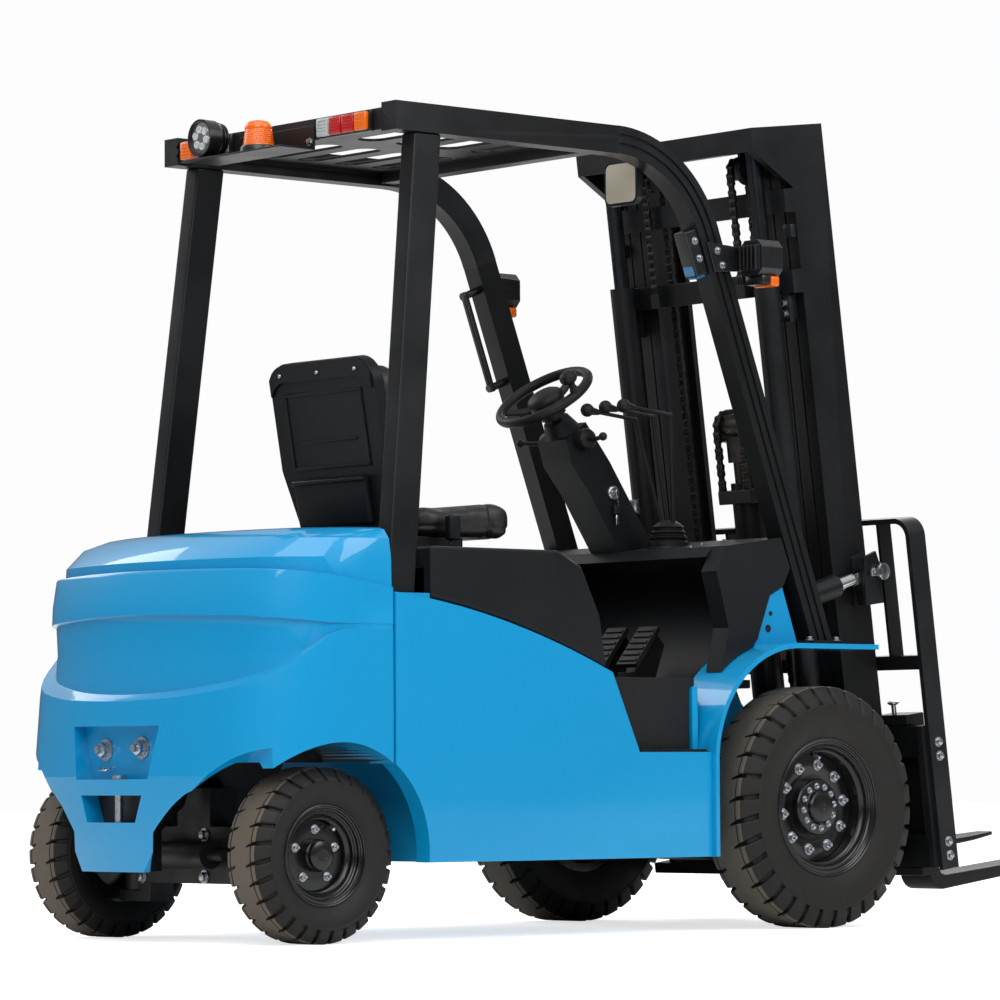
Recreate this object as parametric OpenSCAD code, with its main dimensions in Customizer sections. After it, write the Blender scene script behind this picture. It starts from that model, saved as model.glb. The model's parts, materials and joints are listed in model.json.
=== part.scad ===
// Four-wheel electric counterbalance forklift with a three-stage free-lift mast.
// X runs forward, Y to the left and Z up; the origin is on the floor under the middle of the truck.
// Inside the modules X is measured from the front axle, and place() moves it to the origin.

/* [Running gear] */
// Distance between the front and rear axles
wheelbase = 1720; // [1650:5:1800]
// Outside diameter of a drive tyre
front_tyre_d = 670; // [640:2:690]
// Width of a drive tyre
front_tyre_w = 190; // [170:2:196]
// Distance between the middles of the drive tyres
front_track = 1006; // [1000:2:1030]
// Diameter of a drive wheel's rim edge
front_rim_d = 380; // [340:2:400]
// Outside diameter of a steer tyre
rear_tyre_d = 453; // [430:1:460]
// Width of a steer tyre
rear_tyre_w = 160; // [140:2:164]
// Distance between the middles of the steer tyres
rear_track = 864; // [850:2:880]
// Diameter of a steer wheel's rim edge
rear_rim_d = 260; // [230:2:280]
// Distance from a steer tyre's middle plane to its kingpin
kingpin_offset = 140; // [138:1:146]
// Diameter of a kingpin
kingpin_d = 36; // [28:1:44]
// Diameter of a steer wheel spindle
spindle_d = 56; // [44:1:64]
// Diameter of the spigot that carries a drive wheel
drive_spigot_d = 120; // [100:2:130]
// Radial gap between a turning piece and its shaft
turn_gap = 0.4; // [0.3:0.1:0.8]

/* [Body] */
// Width over the side panels
body_w = 1150; // [1130:2:1170]
// Thickness of a side panel
panel_t = 55; // [45:1:70]
// Height of the skirt's lower edge
skirt_z = 205; // [190:1:220]
// Where the side panel meets the counterweight
seam_x = -1550; // [-1570:1:-1540]
// Where the side panel ends at the front fender
panel_front_x = -437; // [-450:1:-425]
// Height of the side panel at its rear end
panel_rear_z = 900; // [880:1:915]
// Height of the side panel at the cab step
panel_step_z = 701; // [690:1:715]
// Crown of the side panel's upper edge
panel_crown = 30; // [10:1:45]
// Height of the step
step_z = 488; // [470:1:500]
// Height of the cab floor
floor_z = 690; // [680:1:700]
// Radius of the rear wheel arch
arch_r = 280; // [270:1:290]
// Height of the battery hood's top
hood_z = 1022; // [1005:1:1035]
// Gap between neighbouring covers
cover_gap = 4; // [3:0.5:6]

/* [Counterweight] */
// Rearmost point of the truck
cw_rear_x = -2040; // [-2060:1:-2030]
// Height of the counterweight's top
cw_top_z = 1068; // [1055:1:1080]
// Height of the tail's lower edge
cw_tail_z = 185; // [175:1:200]
// Half width of the tail at its lower edge
cw_tail_half_w = 133; // [120:1:150]
// Radius of the rear face seen from above
cw_rear_r = 1300; // [1200:10:1500]
// Radius of the rear corners seen from above
cw_corner_r = 250; // [220:5:280]
// Depth of the scooped panel in the rear face
cw_scoop_depth = 76; // [60:1:90]
// Height of the ledge under the scooped panel
cw_ledge_z = 620; // [610:1:640]
// Height of the groove over the scooped panel
cw_groove_z = 872; // [860:1:885]

/* [Overhead guard] */
// Height of the guard's top
guard_z = 2185; // [2160:1:2200]
// Width over the guard's side rails
guard_w = 1000; // [980:2:1010]
// Height of a side rail's section
rail_h = 76; // [66:1:84]
// Width of a side rail's section
rail_w = 60; // [50:1:66]
// Rear end of a side rail
guard_rear_x = -1480; // [-1490:1:-1470]
// Lean of a front post from upright, in degrees
front_post_lean = 20.7; // [18:0.1:23]
// Middle radius of the bend between a rail and its front post
guard_bend_r = 362; // [340:1:380]
// Where a front post's middle line meets its foot
front_foot_x = 62; // [50:1:75]
// Height of a front post's foot
front_foot_z = 800; // [790:1:810]
// Depth of a rear post's section
rear_post_l = 92; // [80:1:96]
// Width of a rear post's section
rear_post_w = 56; // [46:1:60]

/* [Mast] */
// Backward tilt of the mast as it stands, in degrees
mast_tilt = 7.5; // [5:0.5:9]
// Width over the outer mast
mast_w = 740; // [720:2:750]
// Depth of a mast rail
mast_rail_l = 140; // [125:1:150]
// Width of a mast rail's flange
mast_flange_w = 40; // [36:1:42]
// Thickness of a mast rail's web
mast_web_t = 14; // [12:1:18]
// Thickness of a mast rail's flanges
mast_flange_t = 17; // [14:1:20]
// Gap between neighbouring rails
mast_gap = 6; // [6:0.5:8]
// Distance from the tilt pivot forward to the rails' back
mast_back_x = 322; // [310:1:335]
// Height of the outer mast above the pivot
mast_top_z = 1905; // [1850:5:1950]
// Depth of the mast's foot below the pivot
mast_foot_z = -225; // [-235:1:-215]
// Diameter of a side lift cylinder
lift_cyl_d = 72; // [60:1:80]
// Diameter of a lift cylinder's rod
lift_rod_d = 45; // [36:1:50]
// Diameter of the free-lift cylinder
free_cyl_d = 96; // [80:1:104]
// Diameter of a tilt cylinder
tilt_cyl_d = 68; // [60:1:70]
// Diameter of a tilt cylinder's rod
tilt_rod_d = 40; // [32:1:44]

/* [Carriage and forks] */
// Width of the fork carriage
carriage_w = 1040; // [1020:2:1060]
// Distance from the tilt pivot forward to the forks' face
fork_face_x = 560; // [555:1:580]
// Length of a fork blade in front of its face
fork_l = 1070; // [900:10:1150]
// Width of a fork
fork_w = 122; // [100:1:130]
// Thickness of a fork
fork_t = 40; // [35:1:45]
// Distance between the middles of the forks
fork_spread = 760; // [500:10:860]
// Height of the forks' underside below the pivot
fork_drop = 318; // [305:1:324]
// Height of the load backrest's top above the pivot
backrest_z = 760; // [700:5:800]

/* [Hidden] */

$fn = 64;
eps = 0.5;
far = 4000;
black = "#1b1c1e";
blue = "#2aa3e0";
steel = "#b9bcc0";

front_r = front_tyre_d / 2;
rear_r = rear_tyre_d / 2;
rear_x = -wheelbase;
half_w = body_w / 2;
kingpin_y = rear_track / 2 - kingpin_offset;
pivot_z = front_r;
fork_tip_x = fork_face_x + fork_l;
// The lower corner of the fork's tip is the foremost point of the truck
nose_x = fork_tip_x * cos(mast_tilt) + fork_drop * sin(mast_tilt);
front_axle_x = -(nose_x + cw_rear_x) / 2;

// Rail stations of the three mast stages, from outside in
stage_pitch = mast_flange_w + mast_gap;
function stage_y(n) = mast_w / 2 - n * stage_pitch;
mast_front_x = mast_back_x + mast_rail_l;

module place() { translate([front_axle_x, 0, 0]) children(); }
module both_sides() { children(); mirror([0, 1, 0]) children(); }
module tilted() { translate([0, 0, pivot_z]) rotate([0, -mast_tilt, 0]) children(); }
// Box from its lowest to its highest corner
module span(a, b) { translate(a) cube([b[0] - a[0], b[1] - a[1], b[2] - a[2]]); }
// Outline in the X-Z plane made solid between two Y values
module side_plate(points, y0, y1) {
    translate([0, y1, 0]) rotate([90, 0, 0]) linear_extrude(y1 - y0) polygon(points);
}
module y_rod(r, y0, y1) { translate([0, y1, 0]) rotate([90, 0, 0]) cylinder(h = y1 - y0, r = r); }
module y_ring(points) { rotate([90, 0, 0]) rotate_extrude($fn = 96) polygon(points); }

// Upper edge of the side panel: a chord with a shallow crown
panel_edge_x = -799;
function panel_top(x) = let (u = (x - seam_x) / (panel_edge_x - seam_x))
    panel_rear_z + (panel_step_z - panel_rear_z) * u + 4 * panel_crown * u * (1 - u);
edge_steps = 10;
function panel_edge(x0, x1, lift) = [for (i = [0 : edge_steps])
    let (x = x0 + (x1 - x0) * i / edge_steps) [x, panel_top(x) + lift]];

// Space that a steered rear wheel sweeps about its kingpin
sweep_gap = 12;
sweep_r = norm([kingpin_offset + rear_tyre_w / 2, rear_r]) + sweep_gap;
sweep_top_z = rear_tyre_d + sweep_gap;
module wheel_sweep() {
    both_sides() translate([rear_x, -kingpin_y, -eps]) rotate_extrude()
        polygon([[0, 0], [sweep_r, 0], [sweep_r, rear_r + 62], [sweep_r - 40, rear_r + 158],
            [kingpin_offset + rear_tyre_w / 2 + sweep_gap + 10, sweep_top_z], [0, sweep_top_z]]);
}
module wheel_arch() {
    both_sides() translate([rear_x, 0, rear_r + 8]) y_rod(arch_r, -half_w - 20, -kingpin_y);
}

// Chassis

bay_rear_x = rear_x + sweep_r + 8;
bay_wall = 18;
bay_front_x = -862;
pan_t = 20;
post_pad_l = 120;
rest_gap = 0.7;
module chassis_frame() color(blue) place() {
    difference() {
        union() {
            both_sides() difference() {
                side_plate(concat(panel_edge(seam_x, panel_edge_x, 0),
                    [[-703, step_z], [panel_front_x, step_z], [panel_front_x, skirt_z], [seam_x, skirt_z]]),
                    -half_w, -half_w + panel_t);
                // The lower third of the panel leans inwards below a crease
                translate([seam_x - eps, -half_w, 318]) rotate([-14, 0, 0])
                    translate([0, -100, -200]) cube([far, 100, 200]);
            }
            span([bay_rear_x, -half_w + panel_t, skirt_z],
                [panel_front_x, half_w - panel_t, skirt_z + pan_t]);
            span([bay_rear_x, -half_w + panel_t, skirt_z], [bay_rear_x + bay_wall, half_w - panel_t, 860]);
            span([bay_front_x, -half_w + panel_t, skirt_z], [bay_front_x + bay_wall, half_w - panel_t,
                floor_z - floor_t]);
            // Cheeks that carry the drive axle
            both_sides() side_plate([[panel_front_x - 130, skirt_z], [panel_front_x - 130, floor_z - floor_t],
                [-60, floor_z - floor_t], [110, front_r + 150], [110, front_r - 120], [-200, skirt_z]],
                -drive_mount_y - 12, -drive_mount_y + 12);
            span([panel_front_x - 20, -half_w + panel_t, skirt_z], [panel_front_x, half_w - panel_t,
                floor_z - floor_t]);
        }
        wheel_arch();
        wheel_sweep();
        translate([0, 0, front_r]) y_rod(axle_tube_r + turn_gap, -drive_mount_y - 20, drive_mount_y + 20);
    }
    both_sides() {
        span([seam_x, -half_w + 8, panel_rear_z - 60],
            [seam_x + post_pad_l, -half_w + panel_t + 65, panel_rear_z - 1]);
        // Pads that the counterweight is bolted against
        span([cw_front_x + seat_gap, -half_w + 40, panel_rear_z - 60],
            [seam_x + 1, -half_w + panel_t + 65, panel_rear_z - 1]);
        // Rests under the battery hood
        for (x = [-1300, -960]) side_plate(concat(panel_edge(x, x + 50, cover_gap - rest_gap),
            [[x + 50, panel_top(x + 50) - 10], [x, panel_top(x) - 10]]), -half_w + 14, -half_w + 36);
    }
}

// Seen from above: rear arc, round corners and straight sides, each tangent to the next
module cw_plan(rear, half) {
    mid = rear + cw_rear_r;
    cy = half - cw_corner_r;
    cx = mid - sqrt(pow(cw_rear_r - cw_corner_r, 2) - cy * cy);
    reach = 1.2 * cw_rear_r;
    dir = [cx - mid, cy] / norm([cx - mid, cy]) * reach;
    intersection() {
        union() {
            intersection() {
                translate([mid, 0]) circle(cw_rear_r, $fn = 120);
                polygon([[mid, 0], [mid + dir[0], dir[1]], [mid + dir[0], -dir[1]]]);
            }
            for (s = [-1, 1]) translate([cx, s * cy]) circle(cw_corner_r, $fn = 40);
            polygon([[cx, half], [cx, cy], [mid, 0], [cx, -cy], [cx, -half], [cw_front_x, -half],
                [cw_front_x, half]]);
        }
        translate([rear - 50, -half - 50]) square([cw_front_x - rear + 50, 2 * half + 100]);
    }
}
cw_front_x = seam_x - cover_gap;
cw_half = half_w - 6;
layer_t = 2;
// Loft through levels given as [distance in from the rearmost point, distance in from the side, height]
module cw_loft(levels) hull() for (v = levels)
    translate([0, 0, v[2]]) linear_extrude(layer_t) cw_plan(cw_rear_x + v[0], cw_half - v[1]);

// Outline in the Y-Z plane made solid between two X values
module end_plate(points, x0, x1) {
    translate([x0, 0, 0]) rotate([90, 0, 90]) linear_extrude(x1 - x0) polygon(points);
}
tunnel_z = 400;
tunnel_half_l = 75;
module axle_tunnel() {
    span([rear_x - tunnel_half_l, -kingpin_y, -eps], [rear_x + tunnel_half_l, kingpin_y, tunnel_z]);
}

// Where the scooped panel runs out on the side, measured forward from the rearmost point
scoop_run = 303;
scoop_end_z = 803;
band_z = 966;
band_drop = 54;
groove_drop = 55;
cw_side_l = cw_front_x - cw_rear_x;
loft_steps = 12;
function ledge_at(d) = cw_ledge_z + (scoop_end_z - cw_ledge_z) * pow(min(d / scoop_run, 1), 1.3);
function groove_at(d) = cw_groove_z - groove_drop * sqrt(min(d / scoop_run, 1));
function band_at(d) = band_z - band_drop * pow(d / cw_side_l, 1.5);
// Everything between two heights that change along the side
module side_band(low, high) side_plate(concat([[cw_rear_x - 50, low[0]]],
    [for (i = [0 : loft_steps]) [cw_rear_x + cw_side_l * i / loft_steps, low[i]]],
    [for (i = [loft_steps : -1 : 0]) [cw_rear_x + cw_side_l * i / loft_steps, high[i]]],
    [[cw_rear_x - 50, high[0]]]), -half_w - 50, half_w + 50);
function along(f) = [for (i = [0 : loft_steps]) let (d = cw_side_l * i / loft_steps)
    f == "ledge" ? ledge_at(d) : f == "groove" ? groove_at(d) : f == "band" ? band_at(d) : 0];
pocket_depth = 62;
tow_pin_r = 11;
tow_pin_x = cw_rear_x + 34;
upper_pocket = [[-154, 423], [154, 423], [185, 561], [-185, 561]];
lower_pocket = [[-104, 312], [104, 312], [131, 382], [-131, 382]];
wedge_rise = 320;
wedge_run = 420;
module counterweight() color(blue) place() {
    difference() {
        union() {
            // Bulging lower body up to a ledge that rises along the sides
            intersection() {
                cw_loft([[6, 0, cw_tail_z], [0, 0, 430], [18, 0, 640], [50, 0, cw_ledge_z + 220]]);
                side_band(along("floor"), along("ledge"));
            }
            // Hollow panel
            cw_loft([[50, 1.5, cw_ledge_z - 30], [cw_scoop_depth, 1.5, 753]]);
            cw_loft([[cw_scoop_depth, 1.5, 753], [cw_scoop_depth - 8, 1.5, cw_groove_z + 20]]);
            // Band over the groove
            intersection() {
                cw_loft([[56, 0, cw_groove_z - 72], [60, 0, cw_groove_z + 8], [72, 1, band_z - 16], [82, 2,
                    band_z]]);
                side_band(along("groove"), along("band"));
            }
            // Cap
            cw_loft([[95, 6, cw_groove_z + 18], [102, 8, cw_top_z - 83], [155, 16, cw_top_z - 33],
                [230, 34, cw_top_z - 8], [266, 51, cw_top_z - layer_t]]);
        }
        wheel_arch();
        wheel_sweep();
        axle_tunnel();
        // The tail narrows to a rounded wedge between the rear wheels
        both_sides() end_plate(concat([[cw_tail_half_w, -eps]],
            [for (i = [0 : loft_steps]) let (u = i / loft_steps)
            [cw_tail_half_w + wedge_run * u, cw_tail_z + wedge_rise * (1 - pow(1 - u, 2))]],
            [[half_w + 50, cw_tail_z + wedge_rise], [half_w + 50, -eps]]), cw_rear_x - 100, rear_x - 180);
        end_plate(upper_pocket, cw_rear_x - 100, cw_rear_x + pocket_depth);
        end_plate(lower_pocket, cw_rear_x - 100, cw_rear_x + pocket_depth);
        translate([tow_pin_x, 0, lower_pocket[0][1] - 40])
            cylinder(h = upper_pocket[0][1] - lower_pocket[0][1] + 60, r = tow_pin_r + turn_gap);
    }
}
module tow_pin() color(steel) place() translate([tow_pin_x, 0, 0]) {
    translate([0, 0, lower_pocket[0][1] - 39.5]) cylinder(h = upper_pocket[0][1] - lower_pocket[0][1] + 45,
        r = tow_pin_r);
    translate([0, 0, upper_pocket[0][1] + turn_gap]) cylinder(h = 10, r = tow_pin_r + 8);
}

battery_gap = 12;
battery_top_z = 850;
module battery_pack() color("#3b3f45") place()
    span([bay_rear_x + bay_wall + battery_gap, -half_w + panel_t + 40, skirt_z + pan_t],
        [bay_front_x - battery_gap, half_w - panel_t - 40, battery_top_z]);

// Battery hood: a cover over the battery with the seat on its top
hood_wall = 36;
hood_rear_x = seam_x + post_pad_l + cover_gap;
hood_pts = concat([[hood_rear_x, hood_z], [hood_rear_x, panel_top(hood_rear_x) + cover_gap]],
    panel_edge(hood_rear_x, panel_edge_x - 14, cover_gap), [[panel_edge_x - 37, battery_top_z + 3],
    [panel_edge_x - 101, hood_z - 42], [panel_edge_x - 186, hood_z]]);
hood_half_w = half_w - 6;
hood_in_y = hood_half_w - hood_wall;
hood_roof_front_x = panel_edge_x - 126;
module battery_hood() color(black) place() difference() {
    side_plate(hood_pts, -hood_half_w, hood_half_w);
    // Room for the battery below, and a shorter roof space under the sloping front
    span([hood_rear_x - eps, -hood_in_y, 0], [bay_front_x, hood_in_y, battery_top_z + battery_gap]);
    span([hood_rear_x - eps, -hood_in_y, 0], [hood_roof_front_x, hood_in_y, hood_z - hood_wall - 20]);
}

floor_t = 24;
floor_rear_x = -796;
floor_front_x = -120;
module floor_plate() color(black) place() {
    span([floor_rear_x, -half_w + panel_t + 4, floor_z - floor_t],
        [panel_front_x - 8, half_w - panel_t - 4, floor_z]);
    span([panel_front_x - 9, -fender_in_y + 4, floor_z - floor_t], [floor_front_x, fender_in_y - 4, floor_z]);
    // Kick plates above the steps
    both_sides() side_plate([[-786, floor_z - floor_t + 1], [-700, step_z + 2], [panel_front_x - 28,
        step_z + 2],
        [panel_front_x - 28, floor_z - floor_t + 1]], -half_w + panel_t + 4, -half_w + panel_t + 12);
}

// Front fenders with the plates that carry the guard posts and the tilt cylinders
fender_t = 14;
fender_in_y = 404;
fender_out_y = 590;
fender_z = front_foot_z - 12;
fender_front_x = 197;
fender_arc_r = 325;
tilt_y = 400;
tilt_base = [-150, 853];
tilt_pin_r = 15;
tilt_plate_y = 444;
fender_bend = [panel_front_x + fender_arc_r, fender_z - fender_arc_r];
function fender_top(x) = fender_bend[1] + sqrt(pow(fender_arc_r, 2) - pow(x - fender_bend[0], 2));
function fender_edge(x0, x1, lift) = [for (i = [0 : edge_steps])
    let (x = x0 + (x1 - x0) * i / edge_steps) [x, fender_top(x) + lift]];
module front_fenders() color(blue) place() both_sides() {
    // Flat top, quarter bend and upright rear leg
    span([fender_bend[0], -fender_out_y, fender_z - fender_t], [fender_front_x, -fender_in_y, fender_z]);
    translate([fender_bend[0], -fender_in_y, fender_bend[1]]) rotate([90, 0, 0]) rotate([0, 0, 90])
        rotate_extrude(angle = 90, $fn = 96) translate([fender_arc_r - fender_t, 0])
            square([fender_t, fender_out_y - fender_in_y]);
    span([panel_front_x, -fender_out_y, skirt_z], [panel_front_x + fender_t, -fender_in_y, fender_bend[1]]);
    // Upright plate inside the fender
    side_plate([[-200, fender_top(-200) - 2], [-186, 798], [-136, 921], [-86, 946], [-28, fender_z - 2],
        [fender_bend[0], fender_z - 2]], -tilt_plate_y - 50, -tilt_plate_y);
    translate([tilt_base[0], 0, tilt_base[1]]) y_rod(tilt_pin_r, -tilt_plate_y, -tilt_y + 30);
}

// Front cowl: two pillars, a dash top and a front wall
cowl_half_w = 502;
pillar_w = 62;
dash_front_x = -62;
dash_front_z = 1088;
dash_rear = [-300, 1056];
dash_t = 26;
dash_slope = (dash_front_z - dash_rear[1]) / (dash_front_x - dash_rear[0]);
function dash_z(x) = dash_front_z + (x - dash_front_x) * dash_slope;
// The pillar stops short of the guard's post
pillar_front_x = -97;
pillar_pts = concat(fender_edge(-330, -226, cover_gap), [[-190, 800], [-140, 925], [-88, 950],
    [dash_front_x, 1000], [pillar_front_x, dash_z(pillar_front_x)], dash_rear, [-345, 985], [-300, 830]]);
lip_half_w = 425;
module front_cowl() color(black) place() {
    both_sides() side_plate(pillar_pts, -cowl_half_w, -cowl_half_w + pillar_w);
    side_plate([[-330, dash_z(-330) - dash_t], [pillar_front_x, dash_z(pillar_front_x) - dash_t],
        [pillar_front_x, dash_z(pillar_front_x)], dash_rear], -cowl_half_w + pillar_w - eps,
            cowl_half_w - pillar_w + eps);
    side_plate([[pillar_front_x - 1, dash_z(pillar_front_x) - dash_t], [dash_front_x, dash_front_z - dash_t],
        [dash_front_x, dash_front_z], [pillar_front_x - 1, dash_z(pillar_front_x) - eps]], -lip_half_w,
            lip_half_w);
    side_plate([[-225, floor_z], [-205, floor_z], [dash_front_x, 985], [dash_front_x, 1070], [-82, 1066],
        [-82, 995]],
        -355, 355);
}

// Seat
seat_half_w = 222;
seat_rear_x = -1190;
seat_front_x = -795;
seat_base_h = 50;
cushion_h = 95;
cushion_corner_r = 70;
back_lean = 10;
back_l = 400;
back_t = 85;
shell_t = 35;
shell_foot_half_w = 160;
shell_corner_r = 75;
seat_z = hood_z + seat_base_h;
// Flat outline with rounded corners, from its lowest to its highest corner
module round_face(a, b, r) {
    polygon([[a[0] + r, a[1]], [b[0] - r, a[1]], [b[0], a[1] + r], [b[0], b[1] - r], [b[0] - r, b[1]],
        [a[0] + r, b[1]], [a[0], b[1] - r], [a[0], a[1] + r]]);
    for (x = [a[0] + r, b[0] - r]) for (y = [a[1] + r, b[1] - r]) translate([x, y]) circle(r);
}
module seat_base() color(black) place()
    span([seat_rear_x + 40, -seat_half_w + 40, hood_z], [seat_front_x - 190, seat_half_w - 40, seat_z]);
module seat_cushion() color(black) place() intersection() {
    side_plate([[seat_rear_x + 30, seat_z + seat_gap], [seat_rear_x + 20, seat_z + cushion_h - 20],
        [seat_rear_x + 120, seat_z + cushion_h - 26], [seat_front_x - 120, seat_z + cushion_h - 8],
        [seat_front_x - 50, seat_z + cushion_h], [seat_front_x - 12, seat_z + cushion_h - 12],
        [seat_front_x, seat_z + cushion_h - 40], [seat_front_x - 12, seat_z + 12], [seat_front_x - 40,
            seat_z + seat_gap]],
        -seat_half_w, seat_half_w);
    translate([0, 0, seat_z - 10]) linear_extrude(cushion_h + 20)
        round_face([seat_rear_x + 20, -seat_half_w], [seat_front_x, seat_half_w], cushion_corner_r);
}
module back_frame() {
    translate([seat_rear_x + 10, 0, seat_z + cushion_h - 10]) rotate([0, -back_lean, 0]) children();
}
// Outline of the back seen from behind: wide at the shoulders, narrow at the foot
module back_outline(half, low, high, r) {
    polygon([[-shell_foot_half_w, low], [shell_foot_half_w, low], [half, low + 210], [half, high - r],
        [half - r, high],
        [r - half, high], [-half, high - r], [-half, low + 210]]);
    for (s = [-1, 1]) translate([s * (half - r), high - r]) circle(r);
}
module back_slab(x0, x1) translate([x0, 0, 0]) rotate([90, 0, 90]) linear_extrude(x1 - x0) children();
module seat_backrest() color(black) place() back_frame() intersection() {
    back_slab(-back_t, back_t) back_outline(seat_half_w - 10, 12, back_l, shell_corner_r - 10);
    // Padding with a lumbar bulge
    side_plate([[shell_t - back_t - 5, 12], [28, 20], [50, 80], [56, 150], [44, 260], [24, 350], [2, 395],
        [shell_t - back_t - 5, 400]],
        -seat_half_w, seat_half_w);
}
module seat_shell() color(black) place() {
    back_frame() back_slab(-back_t - 6, shell_t - back_t - 5 - seat_gap)
        back_outline(seat_half_w, -90, back_l + 12, shell_corner_r);
    span([seat_rear_x - 70, -shell_foot_half_w - 10, hood_z], [seat_rear_x + 40 - seat_gap,
        shell_foot_half_w + 10, hood_z + 42]);
}

// Steering column and wheel
column_lean = 35;
column_foot = [-215, 1040];
column_l = 430;
wheel_at = 545;
wheel_r = 150;
wheel_grip_r = 14;
module on_column() {
    translate([column_foot[0], 0, column_foot[1]]) rotate([0, -column_lean, 0]) children();
}
shaft_r = 16;
column_half_w = 60;
collar_r = 52;
// Everything below the dash's top
module under_dash() side_plate([[-600, dash_z(-600) - 200], [-600, dash_z(-600) + seat_gap],
    [dash_front_x, dash_front_z + seat_gap], [0, dash_front_z - 200]], -far, far);
module steering_column() color(black) place() difference() {
    on_column() {
        side_plate([[-62, 0], [56, 0], [56, column_l - 140], [44, column_l], [-48, column_l], [-70,
            column_l - 70],
            [-60, column_l - 170]], -column_half_w, column_half_w);
        // Round collar under the wheel
        translate([0, 0, column_l - 1]) cylinder(h = 40, r1 = collar_r, r2 = collar_r - 14);
        cylinder(h = wheel_at - 30, r = shaft_r);
    }
    under_dash();
}
module steering_wheel() color(black) place() on_column() translate([0, 0, wheel_at]) {
    rotate_extrude($fn = 96) translate([wheel_r - wheel_grip_r, 0]) circle(wheel_grip_r, $fn = 32);
    difference() {
        translate([0, 0, -62]) cylinder(h = 62, r = 40);
        translate([0, 0, -62 - eps]) cylinder(h = 36, r = shaft_r + turn_gap);
    }
    for (a = [0, 120, 240]) rotate([0, 0, a]) span([30, -14, -22], [wheel_r - wheel_grip_r, 14, -8]);
    translate([0, -wheel_r + wheel_grip_r, 0]) cylinder(h = 40, r = 9);
    translate([0, -wheel_r + wheel_grip_r, 52]) sphere(22);
}

// Hydraulic levers in a rubber boot, and the pedals
lever_y = -160;
boot_x = -205;
boot_z = dash_z(boot_x);
boot_r = 58;
lever_pitch = 42;
lever_l = 330;
lever_lean = 5;
lever_fan = 5;
lever_r = 6;
lever_arm_l = 180;
lever_arm_rise = 6;
lever_knob_r = 19;
module control_levers() color(black) place() translate([boot_x, lever_y, boot_z]) {
    difference() {
        translate([0, 0, -12]) rotate_extrude() polygon([[0, 0], [boot_r, 0], [boot_r, 24], [boot_r - 12,
            32], [boot_r - 6, 42],
            [boot_r - 18, 50], [boot_r - 14, 60], [boot_r - 28, 72], [0, 72]]);
        translate([-boot_x, -lever_y, -boot_z]) under_dash();
    }
    for (i = [0 : 2]) {
        lean = lever_lean + lever_fan * i;
        translate([0, (i - 1) * lever_pitch / 2, 40]) rotate([-(i - 1) * 3.5, -lean, 0]) {
            cylinder(h = lever_l, r = lever_r);
            // Elbow, grip arm and knob
            translate([0, 0, lever_l]) {
                sphere(lever_r + 1.5, $fn = 32);
                rotate([0, lean + lever_arm_rise - 90, 0]) {
                    cylinder(h = lever_arm_l, r = lever_r - 0.5);
                    translate([0, 0, lever_arm_l - 42]) cylinder(h = 34, r1 = lever_r + 2,
                        r2 = lever_knob_r - 6);
                    translate([0, 0, lever_arm_l]) sphere(lever_knob_r, $fn = 48);
                }
            }
        }
    }
}
module pedals() color(black) place() for (y = [-190, -60]) {
    side_plate([[-420, floor_z], [-300, floor_z], [-262, 790], [-304, 832], [-326, 806], [-345, 745],
        [-370, 712],
        [-420, 712]], y - 12, y + 12);
    side_plate([[-400, 735], [-312, 842], [-300, 832], [-388, 725]], y - 40, y + 40);
}

// Overhead guard
bend_turn = 90 - front_post_lean;
rail_mid_z = guard_z - rail_h / 2;
bend_z = rail_mid_z - guard_bend_r;
post_top_z = bend_z + guard_bend_r * cos(bend_turn);
post_l = (post_top_z - front_foot_z) / sin(bend_turn);
bend_x = front_foot_x - guard_bend_r * sin(bend_turn) - post_l * cos(bend_turn);
rail_y = guard_w / 2 - rail_w / 2;
groove_w = 10;
// The bend stands a little proud of the straight lengths that run into it
bend_proud = 0.4;
bend_lap = 6;
module rail_section(proud) difference() {
    square([rail_h + 2 * proud, rail_w + 2 * proud], center = true);
    for (s = [-1, 1]) translate([s * rail_h / 6, -rail_w / 2 - proud])
        square([groove_w - 2 * proud, groove_w], center = true);
}
module on_post() {
    translate([bend_x + guard_bend_r * sin(bend_turn), 0, post_top_z]) rotate([0, 90 + bend_turn,
        0]) children();
}
foot_pad_t = 12;
module guard_rail() {
    translate([guard_rear_x, -rail_y, rail_mid_z]) rotate([90, 0, 90])
        linear_extrude(bend_x + bend_lap - guard_rear_x) rotate(90) mirror([1, 0]) rail_section(0);
    translate([bend_x, -rail_y, bend_z]) rotate([90, 0, 0]) rotate([0, 0, 90 - bend_turn])
        rotate_extrude(angle = bend_turn, $fn = 96) translate([guard_bend_r, 0]) mirror([0, 1])
            rail_section(bend_proud);
    difference() {
        translate([0, -rail_y, 0]) on_post() translate([0, 0, -bend_lap])
            linear_extrude(post_l + bend_lap + 60) rail_section(0);
        span([-far, -far, -far], [far, far, front_foot_z - foot_pad_t / 2]);
    }
    span([front_foot_x - 75, -rail_y - 40, front_foot_z - foot_pad_t],
        [front_foot_x + 75, -rail_y + 38, front_foot_z]);
}
module guard_rail_right() color(black) place() guard_rail();
module guard_rail_left() color(black) place() mirror([0, 1, 0]) guard_rail();

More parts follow.
